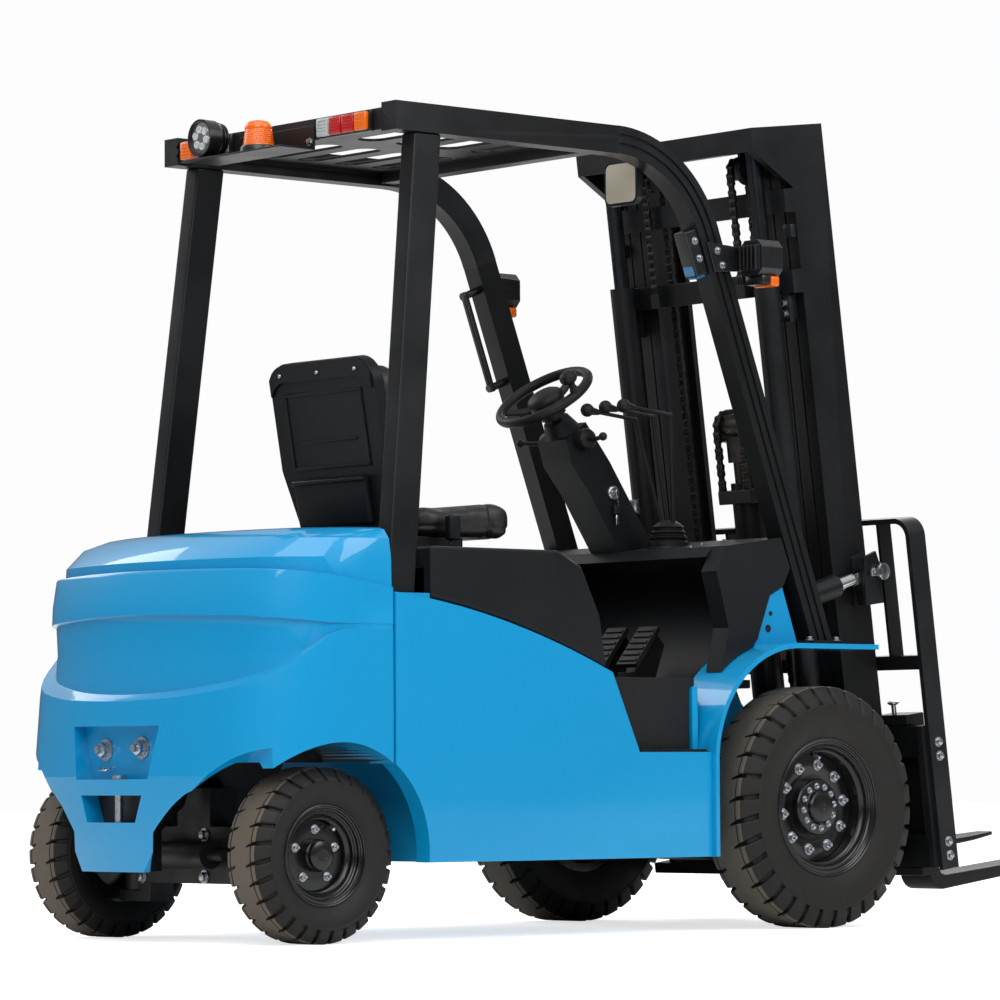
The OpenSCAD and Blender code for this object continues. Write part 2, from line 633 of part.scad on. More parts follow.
post_foot = [-1498, -508];
rear_post_lean = 6.3;
rear_post_inward = 2;
module guard_rear_posts() color(black) place() both_sides() intersection() {
    translate([post_foot[0], post_foot[1], panel_rear_z]) rotate([-rear_post_inward, rear_post_lean, 0])
        span([-rear_post_l / 2, -rear_post_w / 2, -100], [rear_post_l / 2, rear_post_w / 2, 1500]);
    span([-far, -far, panel_rear_z - 1], [far, far, guard_z - rail_h]);
}
roof_half_w = guard_w / 2 - rail_w;
beam_l = 50;
roof_rear_x = guard_rear_x + 4 + beam_l;
roof_front_x = bend_x - 10;
roof_slots = 5;
roof_edge = 65;
roof_spine = 55;
roof_slot_r = 40;
roof_slot_y = (roof_half_w - roof_edge + roof_spine) / 2;
roof_slot_half_l = (roof_half_w - roof_edge - roof_spine) / 2 - roof_slot_r;
module roof_slot() translate([0, 0, guard_z - 60]) {
    both_sides() translate([0, -roof_slot_half_l, 0]) cylinder(h = 60, r = roof_slot_r);
    span([-roof_slot_r, -roof_slot_half_l, 0], [roof_slot_r, roof_slot_half_l, 60]);
}
module guard_roof() color(black) place() {
    span([guard_rear_x + 4, -roof_half_w, guard_z - 70], [roof_rear_x, roof_half_w, guard_z - 12]);
    span([roof_front_x - beam_l, -roof_half_w, guard_z - 70], [roof_front_x, roof_half_w, guard_z - 12]);
    slot_pitch = (roof_front_x - beam_l - roof_rear_x) / roof_slots;
    difference() {
        span([roof_rear_x, -roof_half_w, guard_z - 40], [roof_front_x - beam_l, roof_half_w, guard_z - 32]);
        for (i = [0 : roof_slots - 1]) translate([roof_rear_x + (i + 0.5) * slot_pitch, 0, 0])
            both_sides() translate([0, -roof_slot_y, 0]) roof_slot();
    }
}
lamp_face_x = guard_rear_x + 4;
tail_lamp_y = [-405, -190];
tail_lenses = 4;
lens_gap = 5;
module tail_lamps() color("#c8321e") place() both_sides() {
    span([lamp_face_x - 14, tail_lamp_y[0], guard_z - 72], [lamp_face_x, tail_lamp_y[1], guard_z - 16]);
    lens_pitch = (tail_lamp_y[1] - tail_lamp_y[0] - lens_gap) / tail_lenses;
    for (i = [0 : tail_lenses - 1]) span([lamp_face_x - 28, tail_lamp_y[0] + lens_gap + i * lens_pitch,
        guard_z - 68],
        [lamp_face_x - 13, tail_lamp_y[0] + (i + 1) * lens_pitch, guard_z - 20]);
}
plate_z = guard_z - 96;
module lamp_plate() color(black) place() {
    span([lamp_face_x - 120, -160, plate_z], [lamp_face_x, 260, plate_z + 5]);
    span([lamp_face_x - 5, -160, plate_z], [lamp_face_x, 160, guard_z - 30]);
}
module beacon() color("#f08a1c") place() translate([lamp_face_x - 66, 0, plate_z + 5]) {
    // Flanged base and a domed lens
    rotate_extrude() polygon([[0, 0], [50, 0], [50, 12], [47, 17], [43, 17], [42, 62], [38, 74], [28, 82],
        [0, 86]]);
}
module work_lamp() color("#333333") place() {
    span([lamp_face_x - 100, 191, plate_z + 5], [lamp_face_x - 78, 219, plate_z + 22]);
    translate([lamp_face_x - 66, 205, plate_z + 62]) rotate([0, -90, 0]) translate([0, 0, -32])
        // Cooling fins behind, bezel and sunk lens in front
        rotate_extrude() polygon([[0, 0], [28, 0], [28, 6], [44, 6], [44, 11], [32, 11], [32, 17], [46,
            17], [46, 22], [35, 22],
            [35, 28], [48, 28], [50, 34], [50, 74], [45, 74], [43, 66], [0, 66]]);
}
lamp_x = -222;
lamp_z = 1850;
module head_lamps() color(black) place() both_sides() {
    side_plate([[-345, lamp_z - 40], [-180, lamp_z - 30], [-180, lamp_z + 30], [-372, lamp_z + 40]],
        -guard_w / 2 - 6, -guard_w / 2);
    // Chamfered housing with ribs behind and a hollow hood in front
    head_y = -guard_w / 2 - 51;
    difference() {
        end_plate([for (v = [[-1, -0.6], [-0.6, -1], [0.6, -1], [1, -0.6], [1, 0.6], [0.6, 1], [-0.6, 1],
            [-1, 0.6]])
            [head_y + v[0] * 45, lamp_z + v[1] * 50]], lamp_x - 28, lamp_x + 52);
        end_plate([for (v = [[-1, -0.6], [-0.6, -1], [0.6, -1], [1, -0.6], [1, 0.6], [0.6, 1], [-0.6, 1],
            [-1, 0.6]])
            [head_y + v[0] * 39, lamp_z + v[1] * 44]], lamp_x + 24, lamp_x + 60);
    }
    for (i = [-2 : 2]) span([lamp_x - 44, head_y + i * 15 - 3, lamp_z - 34], [lamp_x - 27,
        head_y + i * 15 + 3, lamp_z + 34]);
}
module spot_lamp() color(black) place() translate([0, -rail_y, 0]) on_post()
    span([rail_h / 2 + 2, -26, -30], [rail_h / 2 + 46, 24, 100]);
mirror_x = -566;
mirror_out_y = 432;
mirror_in_y = 300;
mirror_z0 = 1990;
mirror_z1 = 2112;
mirror_t = 20;
mirror_corner_r = 22;
module rear_mirror() color(black) place() {
    translate([mirror_x, 0, 0]) rotate([90, 0, 90]) linear_extrude(mirror_t)
        round_face([-mirror_out_y, mirror_z0], [-mirror_in_y, mirror_z1], mirror_corner_r);
    // Stem to the side rail
    span([mirror_x + 4, -rail_y + rail_w / 2 + bend_proud + 0.1, mirror_z1 - 24], [mirror_x + 16,
        -mirror_out_y + 8, mirror_z1 - 4]);
}
module grab_handle() color(black) place() translate([0, rail_y, 0]) on_post() {
    for (z = [70, 350]) translate([rail_h / 2, 0, z]) rotate([0, 90, 0]) cylinder(h = 62, r = 11);
    translate([rail_h / 2 + 51, 0, 59]) cylinder(h = 302, r = 11);
}

// Axles
axle_tube_r = 88;
diff_r = 150;
drive_mount_y = 250;
hub_flange_y = 384;
module drive_axle() color(black) place() translate([0, 0, front_r]) {
    // Turned housing with the differential's bulge; a turned profile runs from +Y to -Y
    y_ring([[0, -hub_flange_y], [axle_tube_r, -hub_flange_y], [axle_tube_r, -190], [diff_r - 12, -115],
        [diff_r, -95],
        [diff_r, 120], [diff_r - 12, 140], [axle_tube_r, 205], [axle_tube_r, hub_flange_y], [0,
            hub_flange_y]]);
    both_sides() {
        y_rod(140, -hub_flange_y - 16, -hub_flange_y);
        y_rod(drive_spigot_d / 2, -front_track / 2 - 4, -hub_flange_y - 15);
    }
}
beam_half_l = 45;
arm_t = 30;
knuckle_z0 = 131;
knuckle_z1 = 322;
knuckle_r = 40;
module steer_axle() color(black) place() translate([rear_x, 0, 0]) {
    yoke_y = kingpin_y - knuckle_r - 6;
    span([-beam_half_l, -yoke_y, 150], [beam_half_l, yoke_y, 300]);
    both_sides() {
        span([-knuckle_r, -kingpin_y - knuckle_r + 2, knuckle_z0 - 1 - arm_t], [knuckle_r, -yoke_y + 50,
            knuckle_z0 - 1]);
        span([-knuckle_r, -kingpin_y - knuckle_r + 2, knuckle_z1 + 1], [knuckle_r, -yoke_y + 50,
            knuckle_z1 + 1 + arm_t]);
        span([-knuckle_r, -yoke_y, knuckle_z0 - 1 - arm_t], [knuckle_r, -yoke_y + 50,
            knuckle_z1 + 1 + arm_t]);
        translate([0, -kingpin_y, knuckle_z0 - 2]) cylinder(h = knuckle_z1 - knuckle_z0 + 4,
            r = kingpin_d / 2);
    }
    // Pivot block up to the counterweight
    span([-beam_half_l, -70, 299], [beam_half_l, 70, tunnel_z]);
}
module steer_cylinder() color(steel) place() translate([rear_x - beam_half_l - 36, 0, 225]) {
    y_rod(36, -120, 120);
    y_rod(14, -180, 180);
    both_sides() span([-20, -110, -20], [36, -80, 20]);
}
module knuckle() {
    translate([rear_x, -kingpin_y, 0]) difference() {
        union() {
            translate([0, 0, knuckle_z0]) cylinder(h = knuckle_z1 - knuckle_z0, r = knuckle_r);
            translate([0, 0, rear_r]) y_rod(spindle_d / 2, -kingpin_offset - 18, 0);
        }
        translate([0, 0, knuckle_z0 - eps]) cylinder(h = knuckle_z1 - knuckle_z0 + 2 * eps,
            r = kingpin_d / 2 + turn_gap);
    }
}
module knuckle_right() color(black) place() knuckle();
module knuckle_left() color(black) place() mirror([0, 1, 0]) knuckle();

// Wheels: outer face towards -Y on the right
front_lugs = 33;
rear_lugs = 28;
front_lug_depth = 15;
rear_lug_depth = 11;
shoulder_w = 26;
shoulder_scale = 0.86;
dish_depth = 20;
lug_half = 0.35;
seat_sides = 24;
// Outline of the tread: each lug has a flat top, one of them on the floor, and a groove beside it
function lug_ring(r, n, depth) = [for (i = [0 : n - 1]) for (k = [[-lug_half, 0], [lug_half, 0], [0.4,
    depth], [0.6, depth]])
    let (a = (i + k[0]) * 360 / n - 90) (r / cos(lug_half * 360 / n) - k[1]) * [cos(a), sin(a)]];
// Regular outline whose flats lie at a radius
function flats(r, n) = [for (i = [0 : n - 1]) let (a = i * 360 / n) r / cos(180 / n) * [cos(a), sin(a)]];
module tyre(r, w, rim_r, lugs, depth) {
    half = w / 2 - shoulder_w;
    dish_r = rim_r + 62;
    rotate([90, 0, 0]) difference() {
        union() {
            translate([0, 0, -half]) linear_extrude(2 * half) polygon(lug_ring(r, lugs, depth));
            for (s = [0, 1]) mirror([0, 0, s]) translate([0, 0, half])
                linear_extrude(shoulder_w, scale = shoulder_scale) polygon(lug_ring(r, lugs, depth));
        }
        translate([0, 0, -w]) linear_extrude(2 * w) polygon(flats(rim_r, seat_sides));
        // Sidewalls fall in towards the rim
        for (s = [0, 1]) mirror([0, 0, s]) translate([0, 0, w / 2 - dish_depth])
            linear_extrude(dish_depth * 1.2,
                scale = 1 + 1.2 * (dish_r - rim_r) / rim_r) polygon(flats(rim_r + seat_gap, seat_sides));
    }
}
seat_gap = 0.3;
module rim(rim_r, w, hub_r, hub_in, hub_out, bore_r, bore_out, disc) {
    difference() {
        union() {
            // Barrel with a flange at each edge
            y_ring([[rim_r - 26, -w / 2 + 26], [rim_r - seat_gap, -w / 2 + 26], [rim_r - seat_gap,
                w / 2 - 26],
                [rim_r - 26, w / 2 - 26], [rim_r - 26, w / 2 - 60], [rim_r - 38, w / 2 - 66], [rim_r - 38,
                    -w / 2 + 66],
                [rim_r - 26, -w / 2 + 60]]);
            y_rod(rim_r - 30, -disc, -disc + 16);
            y_rod(hub_r, -hub_out, hub_in);
        }
        y_rod(bore_r + turn_gap, -bore_out, hub_in + eps);
    }
}
module front_wheel_at() { translate([0, -front_track / 2, front_r]) children(); }
module rear_wheel_at() { translate([rear_x, -rear_track / 2, rear_r]) children(); }
module front_rim() {
    rim(front_rim_d / 2, front_tyre_w, drive_spigot_d / 2 + 18, 90, 40, drive_spigot_d / 2, 6, 12);
}
module rear_rim() { rim(rear_rim_d / 2, rear_tyre_w, spindle_d / 2 + 14, 62, 42, spindle_d / 2, 20, 16); }
module front_tyre() { tyre(front_r, front_tyre_w, front_rim_d / 2, front_lugs, front_lug_depth); }
module rear_tyre() { tyre(rear_r, rear_tyre_w, rear_rim_d / 2, rear_lugs, rear_lug_depth); }
module front_tyre_right() color("#222222") place() front_wheel_at() front_tyre();
module front_tyre_left() color("#222222") place() mirror([0, 1, 0]) front_wheel_at() front_tyre();
module front_rim_right() color(black) place() front_wheel_at() front_rim();
module front_rim_left() color(black) place() mirror([0, 1, 0]) front_wheel_at() front_rim();
module rear_tyre_right() color("#222222") place() rear_wheel_at() rear_tyre();
module rear_tyre_left() color("#222222") place() mirror([0, 1, 0]) rear_wheel_at() rear_tyre();
module rear_rim_right() color(black) place() rear_wheel_at() rear_rim();
module rear_rim_left() color(black) place() mirror([0, 1, 0]) rear_wheel_at() rear_rim();

// Mast, in its own upright frame about the tilt pivot
module channel(y_out, z0, z1) both_sides() difference() {
    span([mast_back_x, -y_out, z0], [mast_front_x, -y_out + mast_flange_w, z1]);
    span([mast_back_x + mast_flange_t, -y_out + mast_web_t, z0 - eps],
        [mast_front_x - mast_flange_t, -y_out + mast_flange_w + eps, z1 + eps]);
}
tie_back_x = mast_back_x - 37;
tie_front_x = mast_back_x - 4;
outer_tie_z = mast_top_z - 245;
outer_beam_x = 180;
beam_gap = 7;
top_beam_h = 66;
mid_tie_z = 1430;
tie_h = 66;
lift_y = 300;
lift_x = 245;
lift_cyl_top_z = 1500;
pivot_arm_y = 355;
pivot_arm_t = 26;
tilt_pin = [456, 614];
module cross_tie(x0, x1, half, z0, z1) {
    span([x0, -half, z0], [x1, half, z1]);
    both_sides() span([x0, -half, z0], [mast_back_x + eps, -half + 12, z1]);
}
module mast_outer() color(black) place() tilted() difference() {
    union() {
        channel(stage_y(0), mast_foot_z, mast_top_z);
        // Top beam behind the lift rods, on two cheeks
        span([outer_beam_x, -stage_y(0), mast_top_z - top_beam_h], [outer_beam_x + 35, stage_y(0),
            mast_top_z]);
        both_sides() side_plate([[outer_beam_x, mast_top_z], [outer_beam_x, mast_top_z - top_beam_h],
            [mast_back_x + eps, mast_top_z - top_beam_h - 110], [mast_back_x + eps, mast_top_z]],
            -stage_y(0), -stage_y(0) + 26);
        cross_tie(tie_back_x, tie_front_x, stage_y(0), outer_tie_z, outer_tie_z + tie_h);
        cross_tie(tie_back_x, tie_front_x, stage_y(0), mid_tie_z, mid_tie_z + tie_h);
        // Anchors of the second-stage chains
        both_sides() span([sheave_x - sheave_r - chain_t / 2, -chain_y - 18, mid_tie_z],
            [tie_back_x + 1, -chain_y + 18, mid_tie_z + 40]);
        // Foot plate under the lift cylinders
        span([lift_x - 46, -stage_y(0), mast_foot_z], [tie_front_x, stage_y(0), mast_foot_z + 30]);
        both_sides() span([lift_x - 46, -stage_y(0), mast_foot_z], [mast_back_x + eps, -stage_y(0) + 14,
            mast_foot_z + 30]);
        // Hangers on the drive axle
        both_sides() {
            side_plate([[-60, -130], [60, -130], [mast_back_x + eps, -150], [mast_back_x + eps, 150], [40,
                130], [-60, 125]],
                -pivot_arm_y - pivot_arm_t / 2, -pivot_arm_y + pivot_arm_t / 2);
            // Bracket for the tilt rod
            for (y = [-stage_y(0) - 12, -tilt_y - 28]) side_plate([[tilt_pin[0] - 60, tilt_pin[1] + 46],
                [tilt_pin[0] - 10, tilt_pin[1] + 60], [mast_front_x - 4, tilt_pin[1] + 20],
                    [mast_front_x - 4, tilt_pin[1] - 90],
                [tilt_pin[0] - 70, tilt_pin[1] - 90]], y, y + 12.5);
            span([tilt_pin[0] - 60, -tilt_y - 28, tilt_pin[1] - 90], [mast_front_x - 4, -stage_y(0) + eps,
                tilt_pin[1] - 60]);
            translate([tilt_pin[0], 0, tilt_pin[1]]) y_rod(tilt_pin_r, -tilt_y - 34, -stage_y(0));
        }
    }
    y_rod(axle_tube_r + turn_gap, -stage_y(0) - 5, stage_y(0) + 5);
}
module lift_cylinders() color(black) place() tilted() both_sides() translate([lift_x, -lift_y, 0]) {
    difference() {
        union() {
            translate([0, 0, mast_foot_z + 30]) cylinder(h = lift_cyl_top_z - mast_foot_z - 30,
                r = lift_cyl_d / 2);
            span([0, -20, mid_tie_z + 10], [tie_back_x - lift_x, 20, mid_tie_z + 50]);
        }
        translate([0, 0, mast_foot_z + 60]) cylinder(h = far, r = lift_rod_d / 2 + turn_gap);
    }
}
mid_top_beam_z = mast_top_z - 60;
hose_sheave_x = 268;
hose_sheave_y = 250;
hose_sheave_r = 44;
module y_ring_at(y, points) { translate([0, -y, 0]) y_ring(points); }
module mast_middle() color(black) place() tilted() {
    channel(stage_y(1), mast_foot_z + 40, mast_top_z);
    cross_tie(outer_beam_x + 35 + beam_gap, tie_front_x, stage_y(1), mid_top_beam_z, mast_top_z);
    cross_tie(tie_back_x + 12, tie_front_x, stage_y(1), mast_foot_z + 75, mast_foot_z + 155);
    // Hose sheaves, and the sheaves of the second-stage chains
    both_sides() {
        translate([hose_sheave_x, 0, mid_top_beam_z - hose_sheave_r - 8]) {
            y_ring_at(hose_sheave_y, [[9, -9], [hose_sheave_r, -9], [hose_sheave_r, -6],
                [hose_sheave_r - 9, 0],
                [hose_sheave_r, 6], [hose_sheave_r, 9], [9, 9]]);
            y_rod(9.5, -hose_sheave_y - 9, -hose_sheave_y + 20);
            span([-9, -hose_sheave_y + 14, -14], [9, -hose_sheave_y + 20, hose_sheave_r + 9]);
        }
        span([sheave_x - 14, -chain_y - 22, sheave_z - 14], [sheave_x + 14, -chain_y - 16,
            mid_top_beam_z + 1]);
        translate([sheave_x, 0, sheave_z]) y_rod(sheave_r - chain_t / 2 - 0.5, -chain_y - 17, -chain_y + 14);
    }
}
module lift_rods() color(steel) place() tilted() both_sides() translate([lift_x, -lift_y, mast_foot_z + 70])
    cylinder(h = mid_top_beam_z - mast_foot_z - 70, r = lift_rod_d / 2);
sheave_x = 300;
sheave_r = 35;
sheave_z = 1795;
chain_y = 180;
chain_w = 24;
chain_t = 14;
module lift_chains() color("#4a4a48") place() tilted() both_sides() {
    for (x = [sheave_x - sheave_r, sheave_x + sheave_r])
        span([x - chain_t / 2, -chain_y - chain_w / 2, x < sheave_x ? mid_tie_z + 40.3 : mast_foot_z + 90.3],
            [x + chain_t / 2, -chain_y + chain_w / 2, sheave_z]);
    translate([sheave_x, -chain_y, sheave_z]) chain_bend(sheave_r);
}
// Links of a chain over the upper half of its sheave
bend_links = 6;
module chain_bend(r) side_plate(concat(
    [for (i = [0 : bend_links]) let (a = 180 * i / bend_links) (r + chain_t / 2) * [cos(a), sin(a)]],
    [for (i = [bend_links : -1 : 0]) let (a = 180 * i / bend_links)
        (r - chain_t / 2) / cos(90 / bend_links) * [cos(a), sin(a)]]), -chain_w / 2, chain_w / 2);
free_x = 380;
free_cyl_top_z = 900;
free_rod_r = 34;
crosshead_z = 960;
free_sheave_z = 1060;
free_sheave_r = 50;
free_chain_y = 52;
module mast_inner() color(black) place() tilted() {
    channel(stage_y(2), mast_foot_z + 8, mast_top_z);
    span([mast_back_x + 8, -stage_y(2) + 1, mast_foot_z + 8], [mast_front_x - 8, stage_y(2) - 1,
        mast_foot_z + 30]);
    span([mast_back_x + 18, -stage_y(2) + 1, mast_top_z - 58], [mast_back_x + 58, stage_y(2) - 1,
        mast_top_z - 4]);
    both_sides() span([sheave_x + sheave_r - 8, -chain_y - 18, mast_foot_z + 20],
        [mast_back_x + 40, -chain_y + 18, mast_foot_z + 90]);
}
module free_lift_cylinder() color(black) place() tilted() translate([free_x, 0, 0]) {
    difference() {
        union() {
            translate([0, 0, mast_foot_z + 30]) cylinder(h = free_cyl_top_z - mast_foot_z - 30,
                r = free_cyl_d / 2);
            span([-free_sheave_r - chain_t / 2, -free_chain_y - 16, free_cyl_top_z - 60],
                [-20, free_chain_y + 16, free_cyl_top_z - 20]);
        }
        translate([0, 0, mast_foot_z + 70]) cylinder(h = far, r = free_rod_r + turn_gap);
    }
}
module free_lift_crosshead() color(steel) place() tilted() translate([free_x, 0, 0]) {
    translate([0, 0, mast_foot_z + 90]) cylinder(h = crosshead_z - mast_foot_z - 90 + 1, r = free_rod_r);
    span([-34, -34, crosshead_z], [34, 34, free_sheave_z + 40]);
    translate([0, 0, free_sheave_z]) y_rod(free_sheave_r - 8, -free_chain_y - 18, free_chain_y + 18);
}
module free_lift_chains() color("#4a4a48") place() tilted() both_sides() translate([free_x, -free_chain_y,
    0]) {
    for (x = [-free_sheave_r, free_sheave_r])
        span([x - chain_t / 2, -chain_w / 2, x < 0 ? free_cyl_top_z - 19.7 : upper_bar_z + 40.3],
            [x + chain_t / 2, chain_w / 2, free_sheave_z]);
    translate([0, 0, free_sheave_z]) chain_bend(free_sheave_r);
}

// Fork carriage, load backrest and forks
bar_t = 30;
bar_front_x = fork_face_x - fork_t - 2;
bar_back_x = bar_front_x - bar_t;
upper_bar_z = 75;
bar_h = 90;
lower_bar_z = -242;
carriage_plate_y = 205;
carriage_plate_t = 26;
roller_r = (mast_rail_l - 2 * mast_flange_t) / 2 - 1;
roller_in_y = stage_y(2) - mast_web_t - 2;
module fork_carriage() color(black) place() tilted() {
    for (z = [upper_bar_z, lower_bar_z])
        span([bar_back_x, -carriage_w / 2 + 16, z], [bar_front_x, carriage_w / 2 - 16, z + bar_h]);
    both_sides() {
        side_plate([[mast_back_x + 18, -180], [bar_back_x + 1, -180], [bar_back_x + 1, upper_bar_z + bar_h],
            [mast_front_x - 30, 330], [mast_back_x + 18, 330]], -carriage_plate_y - carriage_plate_t,
                -carriage_plate_y);
        for (z = [-105, 270]) translate([mast_back_x + mast_rail_l / 2, 0, z])
            y_rod(roller_r, -roller_in_y, -carriage_plate_y - carriage_plate_t + 1);
        // End plates that carry the backrest
        span([bar_back_x - 10, -carriage_w / 2 + 15, lower_bar_z], [bar_front_x, -carriage_w / 2 + 35,
            upper_bar_z + bar_h]);
    }
    // Chain anchors behind the upper bar
    both_sides() span([free_x + free_sheave_r - 8, -free_chain_y - 20, upper_bar_z],
        [bar_back_x + 1, -free_chain_y + 20, upper_bar_z + 40]);
}
backrest_back_x = bar_back_x + 4;
backrest_front_x = fork_face_x - 2;
backrest_t = 15;
backrest_bar_z = 325;
backrest_low_z = lower_bar_z - 8;
corner_r = 55;
module backrest_face(grow) {
    hw = carriage_w / 2 - grow;
    top = backrest_z - grow;
    r = corner_r - grow;
    polygon([[-hw, backrest_low_z - grow], [hw, backrest_low_z - grow], [hw, top - r], [hw - r, top],
        [-hw + r, top], [-hw, top - r]]);
    for (s = [-1, 1]) translate([s * (hw - r), top - r]) circle(r);
}
bar_ys = [-390, -234, -78, 78, 234, 390];
module load_backrest() color(black) place() tilted() {
    translate([backrest_back_x, 0, 0]) rotate([90, 0,
        90]) linear_extrude(backrest_front_x - backrest_back_x) difference() {
        backrest_face(0);
        backrest_face(backrest_t);
        translate([-far / 2, -far]) square([far, far + backrest_low_z]);
    }
    bar_x = (backrest_back_x + backrest_front_x) / 2;
    span([bar_x - 25, -carriage_w / 2 + 5, backrest_bar_z], [bar_x + 5, carriage_w / 2 - 5,
        backrest_bar_z + 40]);
    for (y = bar_ys) span([bar_x - 25, y - 5, backrest_bar_z + 20], [bar_x + 25, y + 5, backrest_z - 5]);
}
tip_t = 12;
heel_r = 52;
heel_steps = 6;
module fork() tilted() {
    back = fork_face_x - fork_t;
    y0 = -fork_w / 2;
    difference() {
        side_plate(concat([[back, upper_bar_z + bar_h + 32], [fork_face_x, upper_bar_z + bar_h + 32],
            [fork_face_x, -fork_drop + fork_t + 24], [fork_face_x + 7, -fork_drop + fork_t + 7],
                [fork_face_x + 24, -fork_drop + fork_t],
            [fork_tip_x, -fork_drop + tip_t], [fork_tip_x, -fork_drop]], [for (i = [0 : heel_steps])
            let (a = 270 - 90 * i / heel_steps) [back, -fork_drop] + heel_r * [1 + cos(a), 1 + sin(a)]]),
                y0, -y0);
        // The tip narrows in plan
        for (s = [0, 1]) mirror([0, s, 0]) translate([fork_tip_x, -fork_w / 2 + 30, 0]) rotate([0, 0, 14])
            span([-250, -100, -far], [100, 0, far]);
    }
    // Hooks over the upper bar and under the lower bar
    span([bar_back_x + 2, y0, upper_bar_z + bar_h + 0.5], [back + 1, -y0, upper_bar_z + bar_h + 32]);
    span([bar_back_x + 2, y0, lower_bar_z - 26], [back + 1, -y0, lower_bar_z - 0.5]);
}
module fork_right() color(black) place() translate([0, -fork_spread / 2, 0]) fork();
module fork_left() color(black) place() translate([0, fork_spread / 2, 0]) fork();

// Tilt cylinders
tilt_end = [tilt_pin[0] * cos(mast_tilt) - tilt_pin[1] * sin(mast_tilt),
    pivot_z + tilt_pin[0] * sin(mast_tilt) + tilt_pin[1] * cos(mast_tilt)];
tilt_run = norm(tilt_end - tilt_base);
tilt_rise = atan2(tilt_end[1] - tilt_base[1], tilt_end[0] - tilt_base[0]);
tilt_barrel_l = 380;
tilt_eye_r = 30;
tilt_eye_half_w = 15;
tilt_neck_l = 95;
tilt_neck_half_h = 16;
module on_tilt() translate([tilt_base[0], -tilt_y, tilt_base[1]]) rotate([0, -tilt_rise, 0]) children();
module tilt_barrel() on_tilt() difference() {
    union() {
        y_rod(tilt_eye_r, -tilt_eye_half_w, tilt_eye_half_w);
        span([0, -tilt_eye_half_w, -20], [62, tilt_eye_half_w, 20]);
        translate([60, 0, 0]) rotate([0, 90, 0]) cylinder(h = tilt_barrel_l - 60, r = tilt_cyl_d / 2);
    }
    y_rod(tilt_pin_r + turn_gap, -far, far);
    translate([90, 0, 0]) rotate([0, 90, 0]) cylinder(h = far, r = tilt_rod_d / 2 + turn_gap);
}
module tilt_rod() on_tilt() difference() {
    union() {
        translate([150, 0, 0]) rotate([0, 90, 0]) cylinder(h = tilt_run - tilt_neck_l - 150,
            r = tilt_rod_d / 2);
        span([tilt_run - tilt_neck_l - 8, -tilt_eye_half_w + 1, -tilt_neck_half_h],
            [tilt_run, tilt_eye_half_w - 1, tilt_neck_half_h]);
        translate([tilt_run, 0, 0]) y_rod(tilt_eye_r, -tilt_eye_half_w, tilt_eye_half_w);
    }
    translate([tilt_run, 0, 0]) y_rod(tilt_pin_r + 3, -far, far);
}
module tilt_barrel_right() color(black) place() tilt_barrel();
module tilt_barrel_left() color(black) place() mirror([0, 1, 0]) tilt_barrel();
module tilt_rod_right() color(steel) place() tilt_rod();
module tilt_rod_left() color(steel) place() mirror([0, 1, 0]) tilt_rod();

chassis_frame();
counterweight();
battery_pack();
battery_hood();
floor_plate();
front_cowl();
front_fenders();
pedals();
steering_column();
steering_wheel();
control_levers();
seat_base();
seat_cushion();
seat_backrest();
seat_shell();
guard_rear_posts();
guard_rail_right();
guard_rail_left();
guard_roof();
tail_lamps();
lamp_plate();
work_lamp();
beacon();
head_lamps();
spot_lamp();
rear_mirror();
grab_handle();
drive_axle();
steer_axle();
steer_cylinder();
tow_pin();
front_tyre_right();
front_rim_right();
front_tyre_left();
front_rim_left();
knuckle_right();
knuckle_left();
rear_tyre_right();
rear_rim_right();
rear_tyre_left();
rear_rim_left();
mast_outer();
lift_cylinders();
mast_middle();
lift_rods();
mast_inner();
free_lift_cylinder();
free_lift_crosshead();
free_lift_chains();
lift_chains();
fork_carriage();
load_backrest();
fork_right();
fork_left();
tilt_barrel_right();
tilt_barrel_left();
tilt_rod_right();
tilt_rod_left();
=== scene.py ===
import json
import math

import bmesh
import bpy
from mathutils import Matrix, Vector


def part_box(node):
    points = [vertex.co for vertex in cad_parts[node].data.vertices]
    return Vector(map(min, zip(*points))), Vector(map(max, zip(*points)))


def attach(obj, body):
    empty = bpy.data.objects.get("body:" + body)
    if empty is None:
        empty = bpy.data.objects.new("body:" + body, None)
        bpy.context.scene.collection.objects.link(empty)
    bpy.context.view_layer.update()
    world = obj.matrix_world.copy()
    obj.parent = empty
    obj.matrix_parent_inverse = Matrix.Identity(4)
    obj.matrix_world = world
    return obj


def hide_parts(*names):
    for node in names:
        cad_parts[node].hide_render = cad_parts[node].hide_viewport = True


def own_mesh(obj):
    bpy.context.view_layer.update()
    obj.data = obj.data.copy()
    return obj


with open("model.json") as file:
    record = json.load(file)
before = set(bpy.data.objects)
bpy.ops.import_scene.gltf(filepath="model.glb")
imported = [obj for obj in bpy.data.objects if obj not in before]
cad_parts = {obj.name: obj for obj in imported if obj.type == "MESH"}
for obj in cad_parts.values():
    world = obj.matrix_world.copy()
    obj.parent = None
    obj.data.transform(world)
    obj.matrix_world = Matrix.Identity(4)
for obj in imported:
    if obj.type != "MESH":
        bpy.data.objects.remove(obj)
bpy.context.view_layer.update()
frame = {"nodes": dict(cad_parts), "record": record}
scene = bpy.context.scene
print("frame loaded:", len(frame["nodes"]), "solids")

# places: truck millimetres from the front axle, and the leaning mast's own millimetres
axleAhead = 0.191219  # metres ahead of the frame's origin
axleHigh = 335
mastLean = math.radians(7.5)

# leaning frames: foot in truck millimetres and lean backwards in degrees
seatBack = {"foot": (-1180, 1157), "lean": 10}
column = {"foot": (-215, 1040), "lean": 35}
guardPost = {"foot": (-358.57, 1912.96), "lean": 200.7}  # x to the rear, z down the post


def spot(x, y, z):
    return Vector((x / 1000 + axleAhead, y / 1000, z / 1000))


